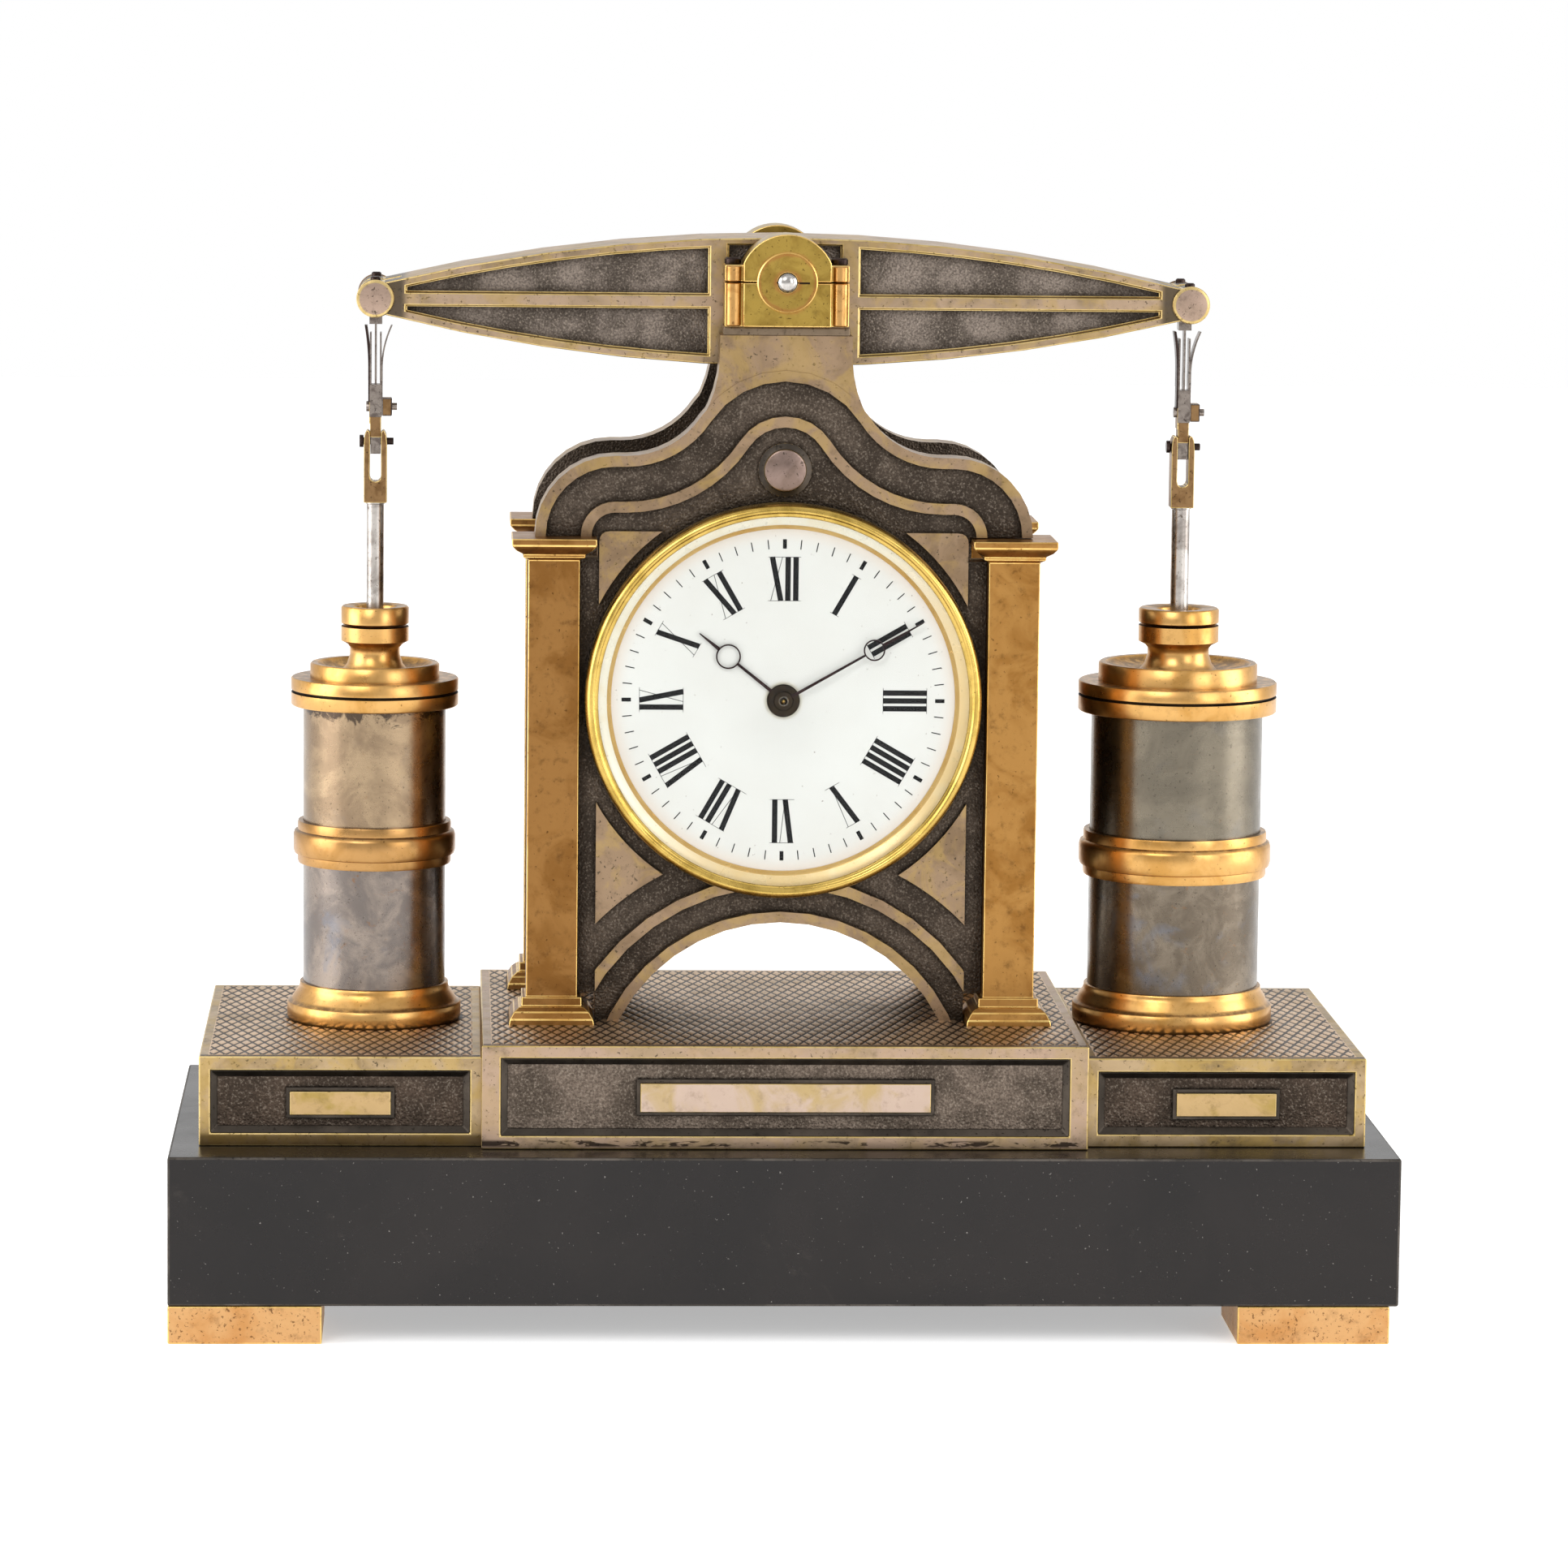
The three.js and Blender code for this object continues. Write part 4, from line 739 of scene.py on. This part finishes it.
for end in ("front", "rear"):
    # The crown's arcs meet in edges far shorter than the bevel; the weld takes them up.
    dress(f"{end}_frame_plate", [PLATE, EDGE_BRASS], 0.4, weld_mm=0.3)
    dress(f"{end}_bearing_block", [BEARING, EDGE_GILT], 0.35)
    dress(f"{end}_bearing_cap", [BEARING, EDGE_GILT], 0.35)


def mirrored(y, rear):
    return 2 * FRAME_Y - y if rear else y


face = box_mm("front_bearing_block")[0].y
for rear in (False, True):
    word = "rear" if rear else "front"
    # Bush ring and the polished end of the shaft.
    turned(
        word + "_bush_ring",
        [[3.2, mirrored(face + 0.2, rear)], [3.2, mirrored(face - 0.25, rear)],
         [8.6, mirrored(face - 0.35, rear)], [8.95, mirrored(face - 0.1, rear)],
         [9.1, mirrored(face + 0.2, rear)], [3.2, mirrored(face + 0.2, rear)]],
        (0, PIVOT.z), "Y", "clock_frame", [BEARING, EDGE_GILT], "brass", which=[0, 0, 1, 1, 0],
    )
    slot = sorted((mirrored(face - 0.42, rear), mirrored(face + 0.1, rear)))
    joint = (3.4, 6.6, slot[0], slot[1], 306.4, 307.0)
    boxes(word + "_bush_slot", [joint], "clock_frame", [JOINT_DARK], 0.1)
    for side, hand in ((-1, "left"), (1, "right")):
        for part, low, high in (("foot", 293.9, 306.6), ("cap", 307.0, 311.6)):
            turned(
                f"{word}_{hand}_lug_{part}",
                [[0, low], [2.0, low], [LUG_R, low + 0.3], [LUG_R, high - 0.3], [2.0, high], [0, high]],
                (side * LUG_X, mirrored(PLATE_FACE + 0.6, rear)), "Z", "clock_frame", [LUG_GILT], "brass", sides=40,
            )
    tip = face - 1.4
    turned(
        word + "_shaft_end",
        [[0, mirrored(tip, rear)], [1.2, mirrored(tip + 0.1, rear)], [2.2, mirrored(tip + 0.55, rear)],
         [SHAFT_R, mirrored(tip + 1.2, rear)], [SHAFT_R, mirrored(face + 2, rear)], [0, mirrored(face + 2, rear)]],
        (0, PIVOT.z), "Y", "rocking_beam", [STEEL], "steel", sides=48,
    )
    strip = sorted((mirrored(PLATE_FACE + 0.5, rear), mirrored(PLATE_FACE + 3, rear)))
    cove = (-18.8, 18.8, strip[0], strip[1], 291.1, 293.5)
    boxes(word + "_neck_cove", [cove], "clock_frame", [COVE], 0.4)
    for side, hand in ((-1, "left"), (1, "right")):
        node = f"{word}_cap_screw_{hand}"
        c = middle(node)
        lo, hi = box_mm(node)
        screw = turned(
            f"{word}_{hand}_screw",
            [[0, lo.z], [2.4, lo.z], [SCREW_R, lo.z + 0.3], [SCREW_R, hi.z - 0.5], [2.1, hi.z - 0.05], [0, hi.z]],
            (c.x, c.y), "Z", "clock_frame", [DARK_STEEL], "blued_steel", sides=32,
        )
        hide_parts(node)

button = box_mm("crank_bush")
bush = turned(
    "crank_bush_turned",
    [[0, button[0].y], [5.6, button[0].y], [6.05, button[0].y + 0.2], [6.3, button[0].y + 0.7],
     [6.3, button[1].y - 0.5], [6.9, button[1].y - 0.2], [7.9, button[1].y], [0, button[1].y]],
    (0, middle("crank_bush").z), "Y", "clock_frame", [BUTTON, EDGE_BRASS, DARK_PANEL], "silvered",
    which=[0, 0, 1, 0, 2, 2, 0],
)
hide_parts("crank_bush")

# ------------------------------------------------------------------ dial, bezel, hands

dress("drum_case", [MOVEMENT])
dress("back_door", [MOVEMENT, EDGE_GILT], 0.2)
for node in (
    "movement_frame", "centre_arbor", "minute_wheel", "hour_wheel",
    "going_barrel", "automaton_barrel", "balance_wheel",
):
    dress(node, [MOVEMENT])

bz0, bz1 = box_mm("front_bezel")
front, back = bz0.y, bz1.y
outer = (bz1.x - bz0.x) / 2
bezel = turned(
    "bezel_turned",
    [[55.0, front + 1.2], [55.2, front + 0.75], [55.9, front + 0.8], [56.2, front + 0.5], [56.5, front + 0.1],
     [57.0, front], [57.7, front + 0.25], [58.3, front + 0.9], [58.7, front + 1.9], [outer, front + 3.2],
     [outer, back - 0.5], [outer - 0.4, back], [56.4, back], [56.4, front + 1.2], [55.0, front + 1.2]],
    (DIAL_C.x, DIAL_C.z), "Y", "clock_frame", [BEZEL_GOLD], "bezel_brass", sides=160, angle=50,
)
turned(
    "slip_ring",
    [[51.1, DIAL_FRONT - 0.25], [51.25, DIAL_FRONT - 0.6], [52.4, DIAL_FRONT - 1.4], [53.9, DIAL_FRONT - 2.1],
     [55.5, DIAL_FRONT - 2.7], [56.2, DIAL_FRONT - 2.7], [56.2, DIAL_FRONT - 0.25], [51.1, DIAL_FRONT - 0.25]],
    (DIAL_C.x, DIAL_C.z), "Y", "clock_frame", [SLIP_PALE, SLIP_EDGE], "bezel_brass", sides=160,
    which=[1, 1, 0, 0, 0, 0, 0],
)
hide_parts("front_bezel")

DIAL_R, DIAL_HOLE_R = 55.6, 3.6
dial = turned(
    "enamel_dial",
    [[DIAL_HOLE_R, DIAL_FRONT + 1.3], [DIAL_HOLE_R, DIAL_FRONT + 0.1], [4.2, DIAL_FRONT], [30, DIAL_FRONT],
     [48, DIAL_FRONT], [55.4, DIAL_FRONT], [DIAL_R, DIAL_FRONT + 0.3], [DIAL_R, DIAL_FRONT + 1.3],
     [DIAL_HOLE_R, DIAL_FRONT + 1.3]],
    (DIAL_C.x, DIAL_C.z), "Y", "clock_frame", [ENAMEL], "enamel", sides=160,
)
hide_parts("dial")
glass_box = box_mm("dial_glass")
glass = turned(
    "flat_glass",
    [[0, glass_box[0].y], [56.1, glass_box[0].y], [56.1, glass_box[1].y], [0, glass_box[1].y]],
    (DIAL_C.x, DIAL_C.z), "Y", "clock_frame", [GLASS], "glass", sides=128, angle=20,
)
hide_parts("dial_glass")


def stroke(t0, r0, t1, r1, width, angle, taper=1.0):
    """A straight stroke in dial coordinates (across, outwards), turned clockwise by angle."""
    dx, dr = t1 - t0, r1 - r0
    length = math.hypot(dx, dr)
    nx, nr = dr / length * width / 2, -dx / length * width / 2
    corners = [
        (t0 - nx, r0 - nr), (t0 + nx, r0 + nr),
        (t1 + nx * taper, r1 + nr * taper), (t1 - nx * taper, r1 - nr * taper),
    ]
    c, s = math.cos(angle), math.sin(angle)
    return [(DIAL_C.x + t * c + r * s, DIAL_C.z - t * s + r * c) for t, r in corners]


TOP_R, FOOT_R, THICK, HAIR = 42.7, 29.7, 1.6, 0.17
GLYPH = {
    "I": (2.35, [(0, 0, THICK)]),
    "V": (4.3, [(-1.45, 0.25, THICK), (1.75, 0.3, HAIR)]),
    "X": (4.4, [(-1.3, 1.3, THICK), (1.7, -1.7, HAIR)]),
}
HOURS = ["XII", "I", "II", "III", "IIII", "V", "VI", "VII", "VIII", "IX", "X", "XI"]


def numeral(text, angle):
    total = sum(GLYPH[c][0] for c in text)
    place, made = -total / 2, []
    for c in text:
        advance, lines = GLYPH[c]
        mid = place + advance / 2
        for upper, lower, width in lines:
            made.append(stroke(mid + lower, FOOT_R, mid + upper, TOP_R, width, angle))
        place += advance
    for r in (TOP_R, FOOT_R):
        made.append(stroke(-total / 2 - 0.3, r, total / 2 + 0.3, r, 0.13, angle))
    return made


marks = [shape for i, text in enumerate(HOURS) for shape in numeral(text, math.pi * i / 6)]
marks += [stroke(0, 45.2, 0, 48.0, 0.3 if i % 5 else 1.15, math.pi * i / 30) for i in range(60)]
prisms("dial_numerals", marks, DIAL_FRONT - 0.05, DIAL_FRONT + 0.02, "clock_frame", [INK])


def clock_hand(name, body, length, ring_at, ring_r, hub_r, angle, root_w):
    """A tapering hand with an open ring; lengths and radii in mm, angle clockwise from twelve."""
    lo, hi = box_mm(name)
    y0, y1 = lo.y, hi.y
    shapes = [
        stroke(0, 0, 0, ring_at - ring_r + 0.2, root_w, angle, 0.72),
        stroke(0, ring_at + ring_r - 0.2, 0, length, root_w * 1.05, angle, 0.3),
    ]
    c = (DIAL_C.x + ring_at * math.sin(angle), DIAL_C.z + ring_at * math.cos(angle))
    arm = prisms(name + "_arm", shapes, y0, y1, body, [HAND_STEEL], 0.05)
    turned(
        name + "_loop",
        [[ring_r - 0.42, y0], [ring_r, y0], [ring_r, y1], [ring_r - 0.42, y1], [ring_r - 0.42, y0]],
        c, "Y", body, [HAND_STEEL], "blued_steel", sides=40,
    )
    turned(
        name + "_hub",
        [[1.3, y0], [hub_r - 0.35, y0 - 0.12], [hub_r, y0 + 0.15], [hub_r, y1], [1.3, y1], [1.3, y0]],
        (DIAL_C.x, DIAL_C.z), "Y", body, [HUB_PAINT], "blued_steel", sides=48,
    )
    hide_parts(name)


HAND_STEEL = worn_metal("hand_steel", srgb(52, 36, 36), srgb(38, 26, 28), srgb(18, 14, 14), 0.36, patch_mm=4)
HUB_PAINT = worn_metal("hub_bronze", srgb(52, 42, 30), srgb(40, 32, 26), srgb(26, 22, 20), 0.34, patch_mm=3)
clock_hand("hour_hand", "hour_pipe", 32, 21.0, 3.7, 4.9, math.radians(308.5), 1.05)
clock_hand("minute_hand", "minute_arbor", 47.5, 30.9, 3.2, 3.0, math.radians(60.3), 0.9)
arbor_tip = box_mm("centre_arbor")[0].y
turned(
    "arbor_tip",
    [[0, arbor_tip + 0.3], [0.45, arbor_tip + 0.3], [0.55, arbor_tip], [1.2, arbor_tip], [1.5, arbor_tip + 0.3],
     [1.5, arbor_tip + 1.2], [0, arbor_tip + 1.2]],
    (DIAL_C.x, DIAL_C.z), "Y", "minute_arbor", [STEEL], "steel", sides=32,
)

# ------------------------------------------------------------------ beam and its end bosses

dress("beam", [BEAM_PAINT, EDGE_BRASS], 0.42, clamp=False)
dress("trunnion_shaft", [STEEL])
dress("crank_disc", [STEEL], 0.2)
for word in ("left", "right"):
    node = word + "_end_pin"
    c = middle(node)
    lo, hi = box_mm(node)
    r = (hi.z - lo.z) / 2
    pin = turned(
        word + "_boss_pin",
        [[0, lo.y], [r - 0.9, lo.y], [r - 0.25, lo.y + 0.15], [r, lo.y + 0.5], [r, lo.y + 1.1], [2.2, lo.y + 1.1],
         [2.2, hi.y - 1.1], [r, hi.y - 1.1], [r, hi.y - 0.5], [r - 0.25, hi.y - 0.15], [r - 0.9, hi.y], [0, hi.y]],
        (c.x, c.z), "Y", "rocking_beam", [SILVERED, EDGE_BRASS], "silvered", sides=64,
        which=[0, 1, 1, 1, 0, 0, 0, 1, 1, 1, 0],
    )
    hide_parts(node)
    for k, y in enumerate((lo.y + 5.5, hi.y - 5.5)):
        turned(
            f"{word}_boss_screw_{k}",
            [[0, c.z + 4.6], [1.5, c.z + 4.6], [1.5, c.z + 6.0], [1.1, c.z + 6.4], [0, c.z + 6.4]],
            (c.x, y), "Z", "rocking_beam", [DARK_STEEL], "blued_steel", sides=24,
        )

# ------------------------------------------------------------------ hanging links, rods

LEAF_FOOT, LEAF_RISE = 268.0, 23.4
ROD_R = {"left": 2.6, "right": 2.75}

for word in ("left", "right"):
    link = word + "_link"
    rod = word + "_rod"
    x = middle(word + "_end_pin").x
    y = middle(word + "_piston_rod").y
    dress(word + "_hanging_link", [LINK_STEEL, DARK_STEEL], 0.15)
    fork = [
        (-3.45, 238.3), (3.45, 238.3), (3.45, 256.2), (3.25, 258.6), (2.75, 259.8), (2.2, 260.1), (1.72, 259.4),
        (1.62, 257.0), (1.7, 246.4), (1.45, 245.4), (0.8, 244.8), (0, 244.65),
    ]
    fork += [(-fx, fz) for fx, fz in reversed(fork[2:-1])]
    clevis = prisms(
        word + "_fork", [[(x + fx, fz) for fx, fz in fork]], y - 3.5, y + 3.5,
        rod, [LINK_BROWN, EDGE_BRASS], 0.22,
    )
    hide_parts(word + "_clevis")
    dress(word + "_clevis_pin", [DARK_STEEL], 0.15)
    # Spring leaves that curl outward at the top; the left one of each pair is thicker and black.
    for k, (bend, leaf, bow, paint) in enumerate(((-1, 0.38, 1.1, DARK_STEEL), (1, 0.24, 2.9, LINK_STEEL))):
        bm = bmesh.new()
        rows = []
        for i in range(15):
            t = i / 14
            z = LEAF_FOOT + LEAF_RISE * t
            out = bend * (1.85 + bow * 3.3 * max(0.0, t - 0.45) ** 2)
            section = ((-leaf, -2.3), (leaf, -2.3), (leaf, 2.3), (-leaf, 2.3))
            rows.append([vert(bm, x + out + dx, y + dy, z) for dx, dy in section])
        for a, b in zip(rows, rows[1:]):
            for i in range(4):
                j = (i + 1) % 4
                bm.faces.new((a[i], a[j], b[j], b[i]))
        bm.faces.new(rows[0][::-1])
        bm.faces.new(rows[-1])
        name = f"{word}_spring_leaf_{k}"
        finish_piece(name, into_mesh(bm, name), link, [paint], angle=40)
    boxes(
        word + "_link_bar",
        [(x - 1.65, x + 1.65, y - 2.6, y + 2.6, 257.9, 264.6), (x - 1.9, x - 1.5, y - 2.9, y + 2.9, 262.0, 268.5)],
        link, [LINK_BROWN, EDGE_BRASS], 0.2,
    )
    nut = (x + 1.9, x + 4.9, y - 2.65, y + 2.65, 264.3, 269.7)
    boxes(word + "_link_nut", [nut], link, [LINK_BROWN, DARK_STEEL], 0.35)
    lo, hi = box_mm(word + "_piston_rod")
    radius = ROD_R[word]
    piston = turned(
        word + "_rod_turned",
        [[0, lo.z], [11.6, lo.z], [12, lo.z + 0.4], [12, lo.z + 9.6], [11.6, lo.z + 10], [radius, lo.z + 10],
         [radius, hi.z - 0.6], [radius + 0.3, hi.z - 0.4], [radius + 0.3, hi.z], [0, hi.z]],
        (x, y), "Z", rod, [ROD_STEEL], "steel", sides=48,
    )
    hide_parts(word + "_piston_rod")

# ------------------------------------------------------------------ cylinders

CYLINDERS = {
    "left": dict(base=26.2, body=21.4, band=24.4, flange=25.1, ring=19.4, neck=7.5, gland=10.15, bore=6.2, step=5.4,
                 base_top=11.4, band_foot=47.7, band_top=60.4, flange_foot=95.4, joint=99.7, flange_top=103.8,
                 ring_top=108.2, gland_foot=114.4, gland_joint=119.4, gland_top=125.3),
    "right": dict(base=30.3, body=25.9, band=29.1, flange=30, ring=24, neck=9.3, gland=12.1, bore=6.5, step=5.5,
                  base_top=11.2, band_foot=44.9, band_top=58.4, flange_foot=94.8, joint=99.8, flange_top=103.9,
                  ring_top=109.6, gland_foot=115.6, gland_joint=121.1, gland_top=126.1),
}
for word, c in CYLINDERS.items():
    place = middle(word + "_cylinder_barrel")
    at = (place.x, place.y)

    def lathe(part, profile, paints, slot, which=None, node=None, angle=40):
        lifted = [[r, SIDE_TOP + z] for r, z in profile]
        piece = turned(f"{word}_{part}", lifted, at, "Z", "clock_frame", paints, slot, 112, which, angle)
        if node:
            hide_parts(f"{word}_cylinder_{node}")
        return piece

    b, base, step, base_top = c["body"], c["base"], c["step"], c["base_top"]
    lathe(
        "base_turned",
        [[b - 4, 0.05], [base - 0.5, 0.05], [base, 0.8], [base, step - 0.4], [base - 0.3, step],
         [base - 0.9, step + 0.3], [base - 1.6, step + 1.1], [b + 2.4, step + 2.4], [b + 1.4, step + 3.7],
         [b + 1.0, step + 4.9], [b + 1.0, base_top - 0.2], [b + 0.8, base_top], [b - 0.5, base_top], [b - 4, 0.05]],
        [RING_GILT], "ring_gilt", node="base", angle=50,
    )
    lathe(
        "barrel_turned",
        [[b - 2, 6], [b, 6], [b, c["joint"]], [b - 2, c["joint"]], [b - 2, 6]],
        [GUN_LEFT if word == "left" else GUN_RIGHT], "gunmetal", node="barrel",
    )
    band, f, t = c["band"], c["band_foot"], c["band_top"]
    h = t - f
    lathe(
        "band_turned",
        [[b + 0.1, f], [band - 1.5, f], [band - 1.3, f + 0.05 * h], [band - 1.3, f + 0.2 * h],
         [band - 0.35, f + 0.23 * h], [band, f + 0.32 * h], [band, f + 0.66 * h], [band - 0.35, f + 0.75 * h],
         [band - 1.3, f + 0.79 * h], [band - 1.3, f + 0.95 * h], [band - 1.5, t], [b + 0.1, t], [b + 0.1, f]],
        [RING_BROWN if word == "left" else RING_GILT], "ring_gilt", node="band", angle=45,
    )
    flange, foot, j, top = c["flange"], c["flange_foot"], c["joint"], c["flange_top"]
    ring, crest, neck = c["ring"], c["ring_top"], c["neck"]
    bore, gland, gf, gj, gt = c["bore"], c["gland"], c["gland_foot"], c["gland_joint"], c["gland_top"]
    lathe(
        "cover_turned",
        [[b + 0.1, foot], [flange - 0.35, foot], [flange, foot + 0.35], [flange, j - 0.45], [flange - 0.9, j - 0.2],
         [flange - 0.9, j + 0.2], [flange, j + 0.45], [flange, top - 0.35], [flange - 0.35, top], [ring, top],
         [ring, crest - 0.5], [ring - 0.5, crest], [ring - 2.0, crest - 0.1], [ring - 2.0 - 0.8, crest - 1.2],
         [neck + 5.5, crest - 3.0], [neck + 3.0, crest - 2.8], [neck + 0.9, crest - 0.4], [neck, crest + 2.4],
         [neck, gf - 1.6], [neck + 0.8, gf - 0.6], [gland - 0.8, gf], [gland, gf + 0.4], [gland, gj - 0.3],
         [gland - 0.6, gj], [bore, gj], [bore, j + 0.4], [b + 0.1, j + 0.4], [b + 0.1, foot]],
        [RING_GILT, JOINT_DARK], "ring_gilt",
        [0] * 3 + [1] * 3 + [0] * 16 + [1] + [0] * 4, "cover", 45,
    )
    gj += 0.3
    lathe(
        "gland_turned",
        [[bore, gj], [gland - 0.7, gj], [gland, gj + 0.45], [gland, gt - 0.5], [gland - 0.5, gt],
         [bore + 0.6, gt - 0.2], [bore, gt - 0.8], [bore, gj]],
        [RING_GILT], "ring_gilt", node="gland_nut", angle=45,
    )

# ------------------------------------------------------------------ studio

scene = bpy.context.scene
floor_mesh = bpy.data.meshes.new("studio_floor")
half = 4.0
floor_mesh.from_pydata([(-half, -half, 0), (half, -half, 0), (half, half, 0), (-half, half, 0)], [], [(0, 1, 2, 3)])
floor = bpy.data.objects.new("studio_floor", floor_mesh)
scene.collection.objects.link(floor)
paper = Paint("pale_paper")
shade = paper.mix(paper.noise(180, 2), (0.80, 0.80, 0.80, 1), (0.84, 0.84, 0.84, 1))
floor.data.materials.append(
    paper.done(shade, 0.8, 0.0, Emission_Color=(1, 1, 1, 1), Emission_Strength=0.42)
)

world = bpy.data.worlds.new("studio")
scene.world = world
world.use_nodes = True
wt = world.node_tree
sky = wt.nodes["Background"]
sky.inputs["Strength"].default_value = 1.0
coords = wt.nodes.new("ShaderNodeTexCoord")
split = wt.nodes.new("ShaderNodeSeparateXYZ")
wt.links.new(coords.outputs["Generated"], split.inputs[0])
toward = wt.nodes.new("ShaderNodeMapRange")
toward.interpolation_type = "SMOOTHSTEP"
toward.inputs["From Min"].default_value = -0.85
toward.inputs["From Max"].default_value = -0.1
toward.inputs["To Min"].default_value = 0.6
wt.links.new(split.outputs[1], toward.inputs["Value"])
wt.links.new(toward.outputs[0], sky.inputs["Color"])


TARGET = (0, 0, 0.17)


def area_light(name, place, size, watts):
    data = bpy.data.lights.new(name, "AREA")
    data.shape = "RECTANGLE"
    data.size, data.size_y = size
    data.energy = watts
    lamp = bpy.data.objects.new(name, data)
    scene.collection.objects.link(lamp)
    lamp.location = place
    lamp.rotation_mode = "QUATERNION"
    lamp.rotation_quaternion = (Vector(TARGET) - Vector(place)).to_track_quat("-Z", "Y")


area_light("left_box", (-1.7, -0.35, 0.7), (1.2, 1.4), 22)
area_light("right_box", (1.8, -0.25, 0.6), (1.0, 1.3), 17)
area_light("key", (-0.9, -1.8, 1.6), (1.0, 1.0), 17)
area_light("fill", (1.2, -1.7, 0.8), (0.8, 1.2), 10)

# ------------------------------------------------------------------ camera

SENSOR = 36.0
VIEW_WIDTH = 1932.0
FOCAL = 8000.0
cam_data = bpy.data.cameras.new("camera")
cam_data.sensor_width = SENSOR
cam_data.lens = FOCAL / VIEW_WIDTH * SENSOR
camera = bpy.data.objects.new("camera", cam_data)
scene.collection.objects.link(camera)
CAMERA_AT = (-98.15, -1935.5, 409.0)
yaw, pitch, roll = (math.radians(a) for a in (2.955, 7.469, 0.643))
ahead = Vector((math.sin(yaw) * math.cos(pitch), math.cos(yaw) * math.cos(pitch), -math.sin(pitch)))
level_right = Vector((math.cos(yaw), -math.sin(yaw), 0))
level_up = level_right.cross(ahead)
right = math.cos(roll) * level_right + math.sin(roll) * level_up
up = -math.sin(roll) * level_right + math.cos(roll) * level_up
turn = Matrix((right, up, -ahead)).transposed()
camera.matrix_world = Matrix.Translation(Vector(CAMERA_AT) * MM) @ turn.to_4x4()
cam_data.clip_start, cam_data.clip_end = 0.05, 30
scene.camera = camera
scene.view_settings.view_transform = "Standard"
